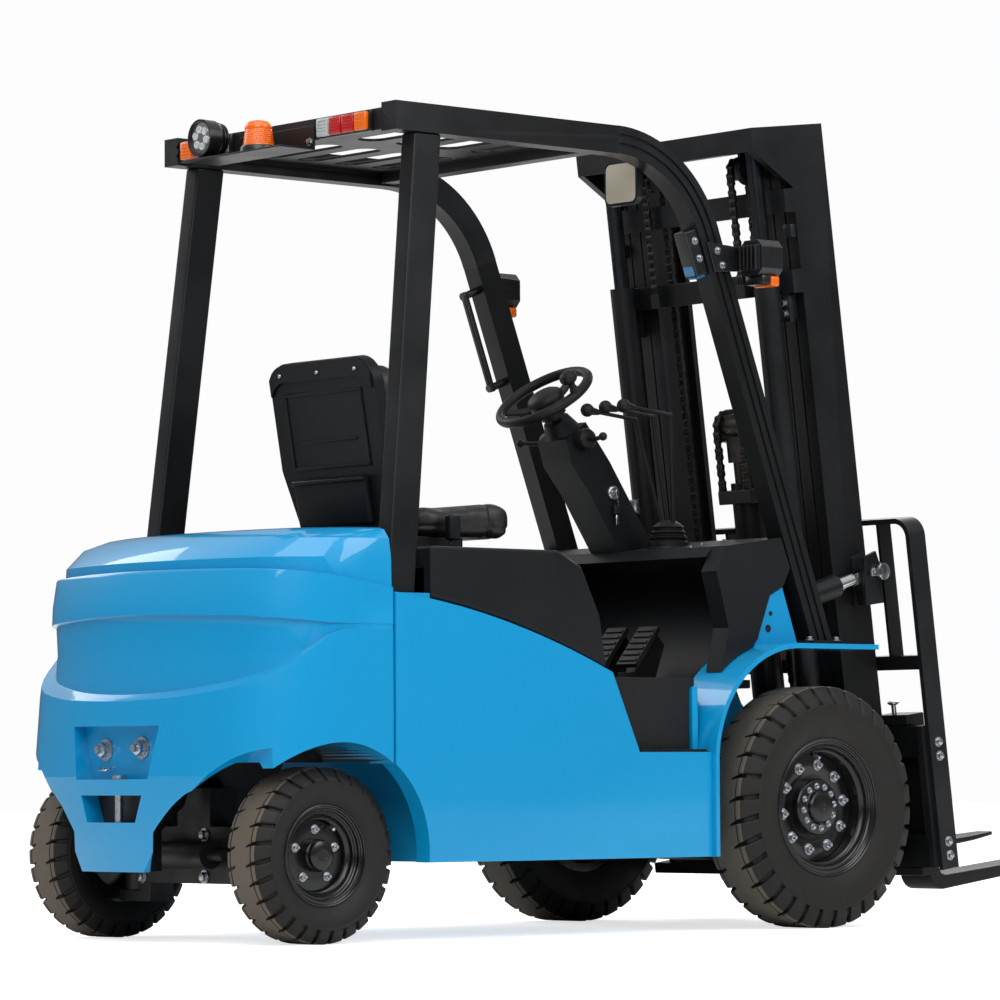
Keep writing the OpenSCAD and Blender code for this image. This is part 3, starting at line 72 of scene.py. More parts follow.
def mastSpot(x, y, z):
    along = x * math.cos(mastLean) - z * math.sin(mastLean)
    return spot(along, y, axleHigh + x * math.sin(mastLean) + z * math.cos(mastLean))


def leaning(foot, lean):
    turn = math.radians(lean)

    def place(x, y, z):
        along = foot[0] + x * math.cos(turn) - z * math.sin(turn)
        return spot(along, y, foot[1] + x * math.sin(turn) + z * math.cos(turn))
    return place


backSpot = leaning(**seatBack)
columnSpot = leaning(**column)
postSpot = leaning(**guardPost)
up = Vector((0, 0, 1))
rear = Vector((-1, 0, 0))
mastTurn = Matrix.Rotation(-mastLean, 4, "Y")
mastUp = mastTurn @ up
mastRear = mastTurn @ rear


# materials

def linear(code):
    parts = [int(code[i:i + 2], 16) / 255 for i in (1, 3, 5)]
    return tuple(c / 12.92 if c <= 0.04045 else ((c + 0.055) / 1.055) ** 2.4 for c in parts) + (1.0,)


def addNode(tree, kind, inputs=None, **settings):
    made = tree.nodes.new(kind)
    for key, value in settings.items():
        setattr(made, key, value)
    for key, value in (inputs or {}).items():
        if isinstance(value, bpy.types.NodeSocket):
            tree.links.new(value, made.inputs[key])
        else:
            made.inputs[key].default_value = value
    return made


def perMetre(mm):  # pattern scale that repeats at this many millimetres
    return 1000.0 / mm


# where dust, wear and gloss set in, the same for every finish
surface = {"patchDetail": 4.0, "grainDetail": 2.0, "grainHeight": 0.25, "dustFrom": 0.3, "dustTo": 0.8,
           "wearFrom": 0.53, "wearTo": 0.6, "wearMost": 0.6, "glossFrom": 0.3, "glossTo": 0.7}


# colour drift, grain bump, roughness drift, settled dust and worn edges over one base finish
def finish(name, colour, drift, patchMm, grainMm, bump, rough, spread, wear=None, dust=None, **shader):
    mat = bpy.data.materials.new(name)
    mat.use_nodes = True
    tree = mat.node_tree
    body = tree.nodes["Principled BSDF"]
    where = addNode(tree, "ShaderNodeTexCoord").outputs["Object"]
    patch = addNode(tree, "ShaderNodeTexNoise", {
        "Vector": where, "Scale": perMetre(patchMm), "Detail": surface["patchDetail"]}).outputs["Fac"]
    tone = addNode(tree, "ShaderNodeMix", {
        "Factor": patch, "A": linear(colour), "B": linear(drift)}, data_type="RGBA")
    shade = tone.outputs["Result"]
    if dust:  # pale dust that settles on faces turned upwards
        face = addNode(tree, "ShaderNodeNewGeometry")
        lift = addNode(tree, "ShaderNodeSeparateXYZ", {"Vector": face.outputs["Normal"]})
        speck = addNode(tree, "ShaderNodeMath", {0: lift.outputs["Z"], 1: patch}, operation="MULTIPLY")
        share = addNode(tree, "ShaderNodeMapRange", {
            "Value": speck.outputs["Value"], "From Min": surface["dustFrom"], "From Max": surface["dustTo"],
            "To Max": dust[1]})
        dusted = addNode(tree, "ShaderNodeMix", {
            "Factor": share.outputs["Result"], "A": shade, "B": linear(dust[0])}, data_type="RGBA")
        shade = dusted.outputs["Result"]
    if wear:  # rubbed edges
        edge = addNode(tree, "ShaderNodeNewGeometry")
        rub = addNode(tree, "ShaderNodeMapRange", {
            "Value": edge.outputs["Pointiness"], "From Min": surface["wearFrom"],
            "From Max": surface["wearTo"], "To Max": surface["wearMost"]})
        worn = addNode(tree, "ShaderNodeMath", {0: rub.outputs["Result"], 1: patch}, operation="MULTIPLY")
        rubbed = addNode(tree, "ShaderNodeMix", {
            "Factor": worn.outputs["Value"], "A": shade, "B": linear(wear)}, data_type="RGBA")
        shade = rubbed.outputs["Result"]
    tree.links.new(shade, body.inputs["Base Color"])
    grain = addNode(tree, "ShaderNodeTexNoise", {
        "Vector": where, "Scale": perMetre(grainMm), "Detail": surface["grainDetail"]})
    relief = addNode(tree, "ShaderNodeBump", {
        "Height": grain.outputs["Fac"], "Strength": bump,
        "Distance": surface["grainHeight"] * grainMm / 1000})
    tree.links.new(relief.outputs["Normal"], body.inputs["Normal"])
    gloss = addNode(tree, "ShaderNodeMapRange", {
        "Value": patch, "From Min": surface["glossFrom"], "From Max": surface["glossTo"],
        "To Min": rough - spread, "To Max": rough + spread})
    tree.links.new(gloss.outputs["Result"], body.inputs["Roughness"])
    for key, value in shader.items():
        body.inputs[key.replace("_", " ")].default_value = value
    return mat


# sprayed two-pack gloss paint: wet highlights with a faint orange peel
bluePaint = finish("bluePaint", "#008cc3", "#008abf", 420, 7, 0.05, 0.34, 0.02, wear="#1f9fd2",
                   dust=("#3fa6d2", 0.04), Specular_IOR_Level=0.22, Coat_Weight=0.85, Coat_Roughness=0.04)
# black powder coat on steel: even satin with a fine pebble
blackPowder = finish("blackPowder", "#0e0f10", "#121315", 160, 2.4, 0.12, 0.36, 0.06, wear="#33353a",
                     dust=("#45443f", 0.06), Specular_IOR_Level=0.26)
# black chassis enamel under the truck: duller, with road dust; it also darkens the arches' insides as painted
# shade
axleEnamel = finish("axleEnamel", "#101010", "#1c1916", 60, 5, 0.2, 0.5, 0.1, dust=("#5d5347", 0.2))
# gloss black wheel enamel: thin bright rings on the rolled lips
rimEnamel = finish("rimEnamel", "#0b0b0c", "#101012", 80, 4, 0.06, 0.24, 0.06, dust=("#3f3b36", 0.06))
# textured ABS mouldings: soft sheen broken by a leather-like grain, drawn coarse enough to show
grainedAbs = finish("grainedAbs", "#111316", "#16181b", 240, 3.2, 0.2, 0.42, 0.05, dust=("#4a4c50", 0.05),
                    Specular_IOR_Level=0.2)
# glossy moulded plastic of lamps and handles
smoothAbs = finish("smoothAbs", "#101113", "#151618", 90, 1.6, 0.08, 0.3, 0.05)
# solid tyre rubber: matt black sidewalls
tyreRubber = finish("tyreRubber", "#161514", "#1d1b19", 70, 3, 0.3, 0.6, 0.08, dust=("#463f37", 0.1),
                    Specular_IOR_Level=0.3)
# the same rubber where it meets the road: brown with dry dust
treadRubber = finish("treadRubber", "#4e473e", "#61584c", 26, 3.4, 0.5, 0.78, 0.06, dust=("#6b5f50", 0.25))
# moulded rubber of grips, boots and mats
moulded = finish("mouldedRubber", "#131314", "#181819", 50, 1.8, 0.15, 0.5, 0.06, Specular_IOR_Level=0.25)
# zinc plate on bolts and fittings: pale, faintly blue, cloudy
zincPlate = finish("zincPlate", "#c3c7cc", "#a0a4aa", 14, 1.2, 0.1, 0.28, 0.08, Metallic=1.0)
# hard chrome on the tilt rods and lamp bowls: a sharp mirror shine
hardChrome = finish("hardChrome", "#d6d8da", "#c4c7ca", 40, 0.8, 0.04, 0.1, 0.03, Metallic=1.0)
# oiled leaf chain: dark steel with a greasy shine
oiledSteel = finish("oiledSteel", "#4a4845", "#2f2d2b", 22, 2, 0.2, 0.34, 0.1, Metallic=0.9)
# ground chrome lift rods, darkened to a dark steel as painted shade of the mast, with a long thin shine
shadedRodChrome = finish("shadedRodChrome", "#34383c", "#2b2f33", 60, 1, 0.05, 0.24, 0.05, Metallic=0.9)
# grained vinyl of the seat, drawn coarse enough to show
seatVinyl = finish("seatVinyl", "#121213", "#18181a", 90, 2.6, 0.35, 0.46, 0.06)
# dyed polycarbonate lenses: clear depth under a hard gloss
amberLens = finish("amberLens", "#ff7a08", "#f26a00", 40, 4, 0.15, 0.16, 0.03, IOR=1.58,
                   Transmission_Weight=0.25)
redLens = finish("redLens", "#c8141a", "#b00f14", 40, 4, 0.15, 0.16, 0.03, IOR=1.58,
                 Transmission_Weight=0.2)
clearLens = finish("clearLens", "#e8ecee", "#d4dadd", 40, 4, 0.2, 0.1, 0.03, IOR=1.58,
                   Transmission_Weight=0.5)
blueLens = finish("blueLens", "#1d7fb6", "#186c9c", 30, 4, 0.1, 0.12, 0.03, IOR=1.58,
                  Transmission_Weight=0.2)
# silvered mirror glass: a pale cream base colour stands in for what the glass reflects (painted reflection),
# with a sharp shine
mirrorGlassPaintedReflection = finish("mirrorGlassPaintedReflection", "#d8d1bd", "#c9c2ae", 70, 40, 0.02, 0.12, 0.03, Metallic=0.35)
# painted battery case: even grey
batteryCase = finish("batteryCase", "#3a3f44", "#32373b", 120, 3, 0.15, 0.5, 0.06)
print("materials:", len(bpy.data.materials))


tiny = 1e-6  # metres or millimetres that don't count
# width across a bolt's flats in metres, by thread
threads = {"m5": 0.0085, "m7": 0.012, "m8": 0.014, "m10": 0.016, "m12": 0.018, "m14": 0.022, "m24": 0.036}


# mesh helpers: a face layer marks the faces that have their material

def newMesh():
    bm = bmesh.new()
    bm.faces.layers.int.new("painted")
    return bm


def unpainted(bm):
    mark = bm.faces.layers.int["painted"]
    return [face for face in bm.faces if not face[mark]]


def paintNew(bm, mat):  # gives faces made since the last call their material
    mark = bm.faces.layers.int["painted"]
    for face in unpainted(bm):
        face.material_index = mat
        face[mark] = 1


def newFace(bm, ring, mat):
    face = bm.faces.new(ring)
    face.material_index = mat
    face[bm.faces.layers.int["painted"]] = 1


def each(items):  # every item once, in order, so that each run gives the same mesh
    return list(dict.fromkeys(items))


def roundEdges(bm, edges, radius, steps):
    bmesh.ops.bevel(bm, geom=edges, offset=radius, segments=steps, profile=0.5, affect="EDGES", material=-1,
                    clamp_overlap=True)


# outline made solid by a depth
def addSlab(bm, outline, depth, mat=0):
    near = [bm.verts.new(p) for p in outline]
    far = [bm.verts.new(p + depth) for p in outline]
    newFace(bm, near[::-1], mat)
    newFace(bm, far, mat)
    for i in range(len(near)):
        k = (i + 1) % len(near)
        newFace(bm, (near[i], near[k], far[k], far[i]), mat)


# rectangle with round corners, as pairs
def roundRect(a0, a1, b0, b1, r, steps=5):
    corners = [(a1 - r, b1 - r, 0), (a0 + r, b1 - r, 90), (a0 + r, b0 + r, 180), (a1 - r, b0 + r, 270)]
    turns = [(a, b, math.radians(t + 90 * i / steps)) for a, b, t in corners for i in range(steps + 1)]
    return [(a + r * math.cos(t), b + r * math.sin(t)) for a, b, t in turns]


def addBox(bm, low, high, edge=0.0, steps=2, turn=None, mat=0):
    made = bmesh.ops.create_cube(bm, size=1.0)["verts"]
    bmesh.ops.scale(bm, vec=high - low, verts=made)
    bmesh.ops.translate(bm, vec=(low + high) / 2, verts=made)
    if turn:
        bmesh.ops.transform(bm, matrix=turn, verts=made)
    if edge:
        roundEdges(bm, each(e for v in made for e in v.link_edges), edge, steps)
    paintNew(bm, mat)


def alongAxis(start, axis):  # turns local Z to an axis and moves to a point
    return Matrix.Translation(start) @ Vector(axis).normalized().to_track_quat("Z", "Y").to_matrix().to_4x4()


def addRod(bm, start, end, radius, sides=24, edge=0.0, mat=0):
    made = bmesh.ops.create_cone(bm, cap_ends=True, segments=sides, radius1=radius, radius2=radius,
                                 depth=(end - start).length)["verts"]
    bmesh.ops.transform(bm, matrix=alongAxis((start + end) / 2, end - start), verts=made)
    if edge:
        caps = [f for f in each(f for v in made for f in v.link_faces) if len(f.verts) == sides]
        roundEdges(bm, each(e for f in caps for e in f.edges), edge, 2)
    paintNew(bm, mat)


# profile is (radius, height) in metres along an axis from a point
def addSpin(bm, start, axis, profile, steps=48, mat=0, closed=False):
    verts = [bm.verts.new((r, 0, h)) for r, h in profile]
    pairs = list(zip(verts, verts[1:])) + ([(verts[-1], verts[0])] if closed else [])
    edges = [bm.edges.new(p) for p in pairs]
    bmesh.ops.spin(bm, geom=verts + edges, cent=(0, 0, 0), axis=(0, 0, 1), dvec=(0, 0, 0), angle=2 * math.pi,
                   steps=steps, use_merge=True, use_duplicate=False)
    turned = each(v for f in unpainted(bm) for v in f.verts)
    bmesh.ops.remove_doubles(bm, verts=turned, dist=tiny)
    faces = unpainted(bm)
    bmesh.ops.recalc_face_normals(bm, faces=faces)
    turned = each(v for f in faces for v in f.verts)
    bmesh.ops.transform(bm, matrix=alongAxis(start, axis), verts=turned)
    paintNew(bm, mat)


# profile of a dome or bellows whose ribs grow narrower
def ribbed(count, radius, taper, deep, low, pitch, half):
    return [(radius - taper * k - (deep if j else 0), low + pitch * k + half * j)
            for k in range(count) for j in (0, 1)]


def addBall(bm, at, radius, mat=0):
    made = bmesh.ops.create_uvsphere(bm, u_segments=24, v_segments=14, radius=radius)["verts"]
    bmesh.ops.translate(bm, vec=at, verts=made)
    paintNew(bm, mat)


# hexagon head on a washer, and the stud's end; shares of the width across the flats
bolt = {"sunk": 0.001, "washer": (0.82, 0.14), "head": (0.56, 0.62), "edge": 0.05, "stud": 0.28}


def addBolt(bm, at, axis, across, mat=0, stud=0.0):
    way = Vector(axis).normalized()
    (washer, thick), (head, high) = bolt["washer"], bolt["head"]
    addRod(bm, at - way * bolt["sunk"], at + way * across * thick, across * washer, sides=20, mat=mat)
    addRod(bm, at, at + way * across * high, across * head, sides=6, edge=across * bolt["edge"], mat=mat)
    if stud:
        addRod(bm, at, at + way * (across * high + stud), across * bolt["stud"], sides=12, mat=mat)


# round bar along points
def addTube(bm, points, radius, sides=10, round=True, mat=0):
    line = bpy.data.curves.new("line", "CURVE")
    line.dimensions = "3D"
    line.bevel_depth = radius
    line.bevel_resolution = max(1, sides // 4)
    line.use_fill_caps = True
    strand = line.splines.new("BEZIER" if round else "POLY")
    knots = strand.bezier_points if round else strand.points
    knots.add(len(points) - 1)
    for knot, p in zip(knots, points):
        knot.co = tuple(p) if round else (*p, 1)
        if round:
            knot.handle_left_type = knot.handle_right_type = "AUTO"
    holder = bpy.data.objects.new("line", line)
    scene.collection.objects.link(holder)
    bpy.context.view_layer.update()
    graph = bpy.context.evaluated_depsgraph_get()
    mesh = bpy.data.meshes.new_from_object(holder.evaluated_get(graph))
    bm.from_mesh(mesh)
    bpy.data.objects.remove(holder)
    bpy.data.curves.remove(line)
    bpy.data.meshes.remove(mesh)
    paintNew(bm, mat)


def finishPiece(name, bm, mats, body, stands=(), sharp=35, outward=True):
    if outward:
        bmesh.ops.recalc_face_normals(bm, faces=bm.faces)
    bm.faces.layers.int.remove(bm.faces.layers.int["painted"])
    mesh = bpy.data.meshes.new(name)
    bm.to_mesh(mesh)
    bm.free()
    for mat in mats:
        mesh.materials.append(mat)
    mesh.polygons.foreach_set("use_smooth", [True] * len(mesh.polygons))
    mesh.set_sharp_from_angle(angle=math.radians(sharp))
    piece = bpy.data.objects.new(name, mesh)
    scene.collection.objects.link(piece)
    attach(piece, body)
    if stands:
        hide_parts(*stands)
    return piece


# body of each solid
bodyOf = {n: b for b, members in frame["record"]["behaviour"]["bodies"].items() for n in members}

# a merged copy of a solid whose sharp edges are rounded as on the real casting, pressing or moulding
softening = {"merge": 2e-5, "flat": math.radians(0.6), "corner": math.radians(28), "sharp": 32}


def softened(node, mat, edge, steps):
    s = softening
    bm = newMesh()
    bm.from_mesh(frame["nodes"][node].data)
    bmesh.ops.remove_doubles(bm, verts=bm.verts, dist=s["merge"])
    bmesh.ops.dissolve_limit(bm, angle_limit=s["flat"], verts=bm.verts, edges=bm.edges,
                             use_dissolve_boundaries=False)
    hard = [e for e in bm.edges if len(e.link_faces) == 2 and e.calc_face_angle(0) > s["corner"]]
    roundEdges(bm, hard, edge / 1000, steps)
    paintNew(bm, 0)
    return finishPiece(node + ".shell", bm, [mat], bodyOf[node], [node], s["sharp"],
                       outward=False)


# solid: finish, edge radius in millimetres, steps
shells = {
    "chassis_frame": (bluePaint, 5, 3), "counterweight": (bluePaint, 9, 3),
    "battery_hood": (grainedAbs, 14, 3), "floor_plate": (moulded, 3, 2), "front_cowl": (grainedAbs, 12, 3),
    "front_fenders": (bluePaint, 2.5, 2),
    "pedals": (moulded, 3, 2), "steering_column": (grainedAbs, 8, 3), "seat_base": (grainedAbs, 5, 2),
    "seat_shell": (grainedAbs, 10, 3), "guard_rear_posts": (blackPowder, 7, 3),
    "guard_rail_right": (blackPowder, 4, 2), "guard_rail_left": (blackPowder, 4, 2),
    "guard_roof": (blackPowder, 2, 2), "lamp_plate": (blackPowder, 1.5, 2), "head_lamps": (smoothAbs, 3, 2),
    "spot_lamp": (smoothAbs, 5, 2), "rear_mirror": (smoothAbs, 6, 3), "drive_axle": (axleEnamel, 4, 2),
    "steer_axle": (axleEnamel, 5, 2), "knuckle_right": (axleEnamel, 3, 2), "knuckle_left": (axleEnamel, 3, 2),
    "mast_outer": (blackPowder, 2.5, 2), "mast_middle": (blackPowder, 2.5, 2),
    "mast_inner": (blackPowder, 2.5, 2), "fork_carriage": (blackPowder, 3, 2),
    "load_backrest": (blackPowder, 2, 2), "fork_right": (blackPowder, 4, 3), "fork_left": (blackPowder, 4, 3),
    "tilt_barrel_right": (blackPowder, 3, 2), "tilt_barrel_left": (blackPowder, 3, 2),
    "lift_cylinders": (blackPowder, 3, 2), "free_lift_cylinder": (blackPowder, 3, 2),
}
soft = {node: softened(node, mat, edge, steps) for node, (mat, edge, steps) in shells.items()}

# large flats shade flat, and only their rounded edges catch the light
for shell in soft.values():
    shell.modifiers.new("flats", "WEIGHTED_NORMAL").keep_sharp = True
graph = bpy.context.evaluated_depsgraph_get()
for shell in soft.values():
    weighted = bpy.data.meshes.new_from_object(shell.evaluated_get(graph), preserve_all_data_layers=True,
                                               depsgraph=graph)
    shell.modifiers.clear()
    shell.data = weighted

# the arches are darkened with the black enamel behind their blue edge: painted shade deep inside the arch
paintedArchShade = {"x": -1720, "z": 234.5, "r": 283, "edge": 470}
for node in ("counterweight", "chassis_frame"):
    skin = soft[node].data
    skin.materials.append(axleEnamel)
    for face in skin.polygons:
        c = face.center
        off = math.hypot(c.x * 1000 - axleAhead * 1000 - paintedArchShade["x"], c.z * 1000 - paintedArchShade["z"])
        if off < paintedArchShade["r"] and abs(c.y) * 1000 < paintedArchShade["edge"]:
            face.material_index = 1
print("softened shells:", len(shells))

# solids that keep their own mesh
plain = {
    "battery_pack": batteryCase, "control_levers": moulded, "work_lamp": smoothAbs, "grab_handle": smoothAbs,
    "steer_cylinder": axleEnamel, "tow_pin": zincPlate, "lift_rods": shadedRodChrome,
    "free_lift_crosshead": oiledSteel, "tilt_rod_right": hardChrome, "tilt_rod_left": hardChrome,
}
for node, mat in plain.items():
    solid = frame["nodes"][node]
    solid.data.materials.clear()
    solid.data.materials.append(mat)

# tyres: carcass turned from a profile, with shoulder lugs parted by curved grooves
tyres = {
    "front": {"radius": 335, "width": 190, "rim": 190, "ring": 283, "lugs": 33, "depth": 18, "middle": 30,
              "sipe": 53, "track": 1006, "axle": (0, 335)},
    "rear": {"radius": 226.5, "width": 160, "rim": 130, "ring": 189, "lugs": 28, "depth": 14, "middle": 22,
             "sipe": 41, "track": 864, "axle": (-1720, 226.5)},
}
tread = {
    # share of the sidewall's height, millimetres more, millimetres in from the full width, share of groove
    "wall": [(0, 0.5, 20, 0), (0, 5, 18.5, 0), (0.2, 0, 12, 0), (0.42, 0, 5.5, 0), (0.64, 0, 1.5, 0),
             (0.82, 0, 0.6, 0), (1, -5, 1, 0), (1, -3, -0.6, 0), (1, 0, -0.6, 0), (1, 1.5, 1.2, 0),
             (1, 3, 1.4, 0.7)],
    "edge": 0.86, "shoulder": 26, "lip": 1.5, "start": 0.9,  # shoulder: share of radius, width, lip, groove
    "crown": [(2.2, -0.6), (0.6, 3), (0, 7)],  # millimetres down and in, where the shoulder turns flat
    "sipe": (6, 2, 0.95), "fade": (6, 0.7),  # ring groove's depth and half width; where the lug grooves end
    # share of a lug's pitch, and how far down the groove is there
    "groove": [(0, 0), (0.1, 0), (0.2, 0), (0.29, 0), (0.345, 0), (0.372, 0.06), (0.392, 0.22),
               (0.415, 1), (0.5, 1.06), (0.585, 1), (0.608, 0.22), (0.628, 0.06), (0.655, 0), (0.71, 0),
               (0.8, 0), (0.9, 0)],
    "skew": 0.34, "sway": 0.06,  # shares of the pitch by which a groove leans and bends
    "bank": 0.16, "narrow": 0.5, "open": 0.9,  # grooves open towards the shoulder
    "slope": 0.93, "cut": 0.35, "inwards": 0.7,  # sidewall grooves cut inwards
    "sunk": 0.3, "dusty": 5,
}


# half of the profile: radius, distance from the middle plane, share of the groove's depth
def tyreProfile(t):
    top, rim, ring, sipe, middle = (t[k] for k in ("radius", "rim", "ring", "sipe", "middle"))
    half = t["width"] / 2
    flat = half - tread["shoulder"]
    edge = top * tread["edge"]
    start = tread["start"]
    deep, wide, beyond = tread["sipe"]
    fade, faded = tread["fade"]
    rows = [(rim + (ring - rim) * share + more, half - inset, s) for share, more, inset, s in tread["wall"]]
    rows.append((edge + 2 * tread["lip"], half - 2 * tread["lip"], start))
    for u in (0.25, 0.5, 0.75):
        inset = tread["shoulder"] * u + tread["lip"] * (1 - u)
        rows.append((edge + (top - edge) * u, half - inset, start + (1 - start) * u))
    rows += [(top - down, flat - inset, 1) for down, inset in tread["crown"]]
    rows += [(top, sipe + wide, 1), (top - deep, sipe, 1), (top, sipe - wide, beyond)]
    rows += [(top, middle + fade, faded), (top, middle, 0), (top, 0, 0)]
    return rows


def ramp(value, low, high):  # 0 at low, 1 at high
    return min(1, max(0, (value - low) / (high - low)))


# a point of the carcass: row of the profile, then turn by lug and share of its pitch, sunk by the groove
def treadPoint(t, row, lug, share, down):
    r, y, s = row
    reach = ramp(abs(y), t["middle"], t["width"] / 2)
    skew = tread["skew"] * (0.5 - 0.5 * math.cos(math.pi * reach))
    skew += tread["sway"] * math.sin(2 * math.pi * reach)
    off = share - 0.5
    bank, spread = tread["bank"], tread["narrow"] + tread["open"] * reach
    wide = min(abs(off), bank) * spread + max(0, abs(off) - bank) * (0.5 - bank * spread) / (0.5 - bank)
    pitch = lug + 0.5 + math.copysign(wide, off) + (skew if y > 0 else -skew)
    turn = pitch * 2 * math.pi / t["lugs"] - math.pi / 2
    drop = t["depth"] * down * s
    slope = ramp(r, t["ring"], t["radius"] * tread["slope"])
    r -= drop * (tread["cut"] + (1 - tread["cut"]) * slope)
    y -= math.copysign(drop * tread["inwards"] * (1 - slope), y)
    return Vector((r * math.cos(turn), y, r * math.sin(turn))) / 1000


def wheelPlace(t, side):
    return spot(t["axle"][0], side * t["track"] / 2, t["axle"][1])


def makeTyre(axle, side):
    t = tyres[axle]
    half = tyreProfile(t)
    rows = half + [(r, -y, s) for r, y, s in half[-2::-1]]
    place = wheelPlace(t, side)
    bm = newMesh()
    steps = [(lug, share, down) for lug in range(t["lugs"]) for share, down in tread["groove"]]
    rings = [[bm.verts.new(place + treadPoint(t, row, *step)) for row in rows] for step in steps]
    for n, a in enumerate(rings):
        m = (n + 1) % len(rings)
        b = rings[m]
        sunk = steps[n][2] + steps[m][2] > tread["sunk"]
        for i, row in enumerate(rows):
            k = (i + 1) % len(rows)
            worn = min(row[0], rows[k][0]) > t["radius"] - tread["dusty"]
            dusty = worn and not (sunk and row[2] + rows[k][2] > 0)
            newFace(bm, (a[i], a[k], b[k], b[i]), 1 if dusty else 0)
    node = f"{axle}_tyre_{'left' if side > 0 else 'right'}"
    mats = [tyreRubber, treadRubber]
    finishPiece(node + ".moulded", bm, mats, bodyOf[node], [node], sharp=38)


# rims: turned barrel with rolled lips, disc and hub; (radius, distance out from the tyre's middle plane)
rims = {
    "front": {
        "barrel": [(189.6, -69), (189.6, 70), (191.5, 74), (192, 77.5), (189.5, 79.5), (186.5, 78), (185, 74),
                   (182, 72), (178.5, 73), (176, 71.5), (174.5, 67), (172, 64.5), (168, 65), (165.5, 63),
                   (164, 55), (160, 48), (154, 44), (152.5, 38), (152.5, -60), (164, -64), (166, -69)],
        "disc": [(152.8, 8), (150, 12), (138, 13), (132, 15), (100, 15), (96, 13), (90, 12.5), (77.5, 12.5),
                 (77.5, -2), (152.8, -2)],
        "hub": [(78, 0), (78, 34), (75, 38), (70, 40), (50, 40), (48, 41), (46, 44), (44, 52), (40, 56),
                (30, 58.5), (10, 58.5), (7, 56), (0, 56)],
        "nuts": (10, 118, 15, 0.0195), "bolts": (12, 59, 40, 0.0112), "valve": (150, 46, 100)},
    "rear": {
        "barrel": [(129.6, -54), (129.6, 56), (131, 59.5), (131.3, 62.5), (129, 64), (126.5, 63), (125, 59),
                   (122, 57), (118, 57.5), (115.5, 55.5), (114, 49), (111.5, 46.5), (107, 46.5), (104.5, 44),
                   (103, 36), (98, 30), (93, 27), (92.2, 22), (92.2, -46), (104, -50), (106, -54)],
        "disc": [(92.4, 12), (90, 16), (84, 17), (60, 17), (41.5, 17), (41.5, 2), (92.4, 2)],
        "hub": [(42, 2), (42, 34), (40, 37), (39, 38), (39, 44), (37, 49), (32, 52), (22, 53.5), (15, 53.5),
                (13, 52), (0, 52)],
        "nuts": (5, 67, 17, 0.0145), "bolts": (0, 0, 0, 0), "valve": (88, 26, 60)},
}
rimFittings = {"nutStud": 0.008, "valveSunk": 10, "valveLong": 0.034, "valveLean": 0.012,
               "valveThick": 0.0045, "valveEdge": 0.001}


def makeRim(axle, side):
    r, f = rims[axle], rimFittings
    place = wheelPlace(tyres[axle], side)
    out = Vector((0, side, 0))
    bm = newMesh()
    for key in ("barrel", "disc", "hub"):
        addSpin(bm, place, out, [(a / 1000, h / 1000) for a, h in r[key]], steps=72, closed=key != "hub")
    for key, stud in (("nuts", f["nutStud"]), ("bolts", 0.0)):
        count, radius, height, across = r[key]
        for i in range(count):
            turn = 2 * math.pi * (i + 0.25) / count
            at = place + Vector((radius * math.cos(turn), side * height, radius * math.sin(turn))) / 1000
            addBolt(bm, at, out, across, mat=1, stud=stud)
    radius, height, turn = r["valve"]
    way = Vector((math.cos(math.radians(turn)), 0, math.sin(math.radians(turn))))
    foot = place + way * radius / 1000 + out * (height - f["valveSunk"]) / 1000
    tip = foot + out * f["valveLong"] - way * f["valveLean"]
    addRod(bm, foot, tip, f["valveThick"], sides=12, edge=f["valveEdge"], mat=1)
    node = f"{axle}_rim_{'left' if side > 0 else 'right'}"
    finishPiece(node + ".turned", bm, [rimEnamel, zincPlate], bodyOf[node], [node], sharp=30)


for axle in ("front", "rear"):
    for side in (-1, 1):
        makeTyre(axle, side)
        makeRim(axle, side)
print("tyres and rims: 8")

# padded seat: the solid a little smaller, blown up as cloth, then sewn
stuffing = {"voxel": 0.006, "pressure": 4, "frames": 20, "rounds": 14, "ease": 0.5, "fill": 0.7}
# millimetres that a pad starts smaller and may swell
# seams: axis, place in metres, half width and depth in millimetres
pads = {
    "seat_cushion": {"shrink": 9, "swell": 12, "seams": [
        (1, -0.148, 11, 7), (1, 0.148, 11, 7), (0, spot(-905, 0, 0).x, 10, 6),
        (2, spot(0, 0, 1098).z, 7, 4)]},
    "seat_backrest": {"shrink": 8, "swell": 11, "seams": [
        (1, -0.135, 11, 7), (1, 0.135, 11, 7), (2, spot(0, 0, 1300).z, 9, 5),
        (2, spot(0, 0, 1425).z, 9, 5)]},
}


def applyModifiers(pad):
    bpy.context.view_layer.update()
    graph = bpy.context.evaluated_depsgraph_get()
    grown = bpy.data.meshes.new_from_object(pad.evaluated_get(graph))
    pad.modifiers.clear()
    pad.data = grown


def blowUp(pad, swell):
    start = [v.co.copy() for v in pad.data.vertices]
    cloth = pad.modifiers.new("stuffing", "CLOTH")
    cloth.settings.use_pressure = True
    cloth.settings.uniform_pressure_force = stuffing["pressure"]
    cloth.settings.effector_weights.gravity = 0
    for step in range(stuffing["frames"]):
        scene.frame_set(step + 1)
    applyModifiers(pad)
    scene.frame_set(1)
    for v, was in zip(pad.data.vertices, start):
        moved = v.co - was
        if moved.length > swell / 1000:
            v.co = was + moved.normalized() * swell / 1000
    foam = bmesh.new()
    foam.from_mesh(pad.data)
    for step in range(stuffing["rounds"]):  # a firm foam has no creases
        bmesh.ops.smooth_vert(foam, verts=foam.verts, factor=stuffing["ease"], use_axis_x=True,
                              use_axis_y=True, use_axis_z=True)
    foam.to_mesh(pad.data)
    foam.free()


def sew(pad, seams):
    pull = {}
    for v in pad.data.vertices:
        for axis, place, width, deep in seams:
            near = abs(v.co[axis] - place) / (width / 1000)
            if near < 1:
                pull[v.index] = max(pull.get(v.index, 0), deep / 1000 * (1 - near * near) ** 2)
    normals = [v.normal.copy() for v in pad.data.vertices]
    for index, deep in pull.items():
        pad.data.vertices[index].co -= normals[index] * deep


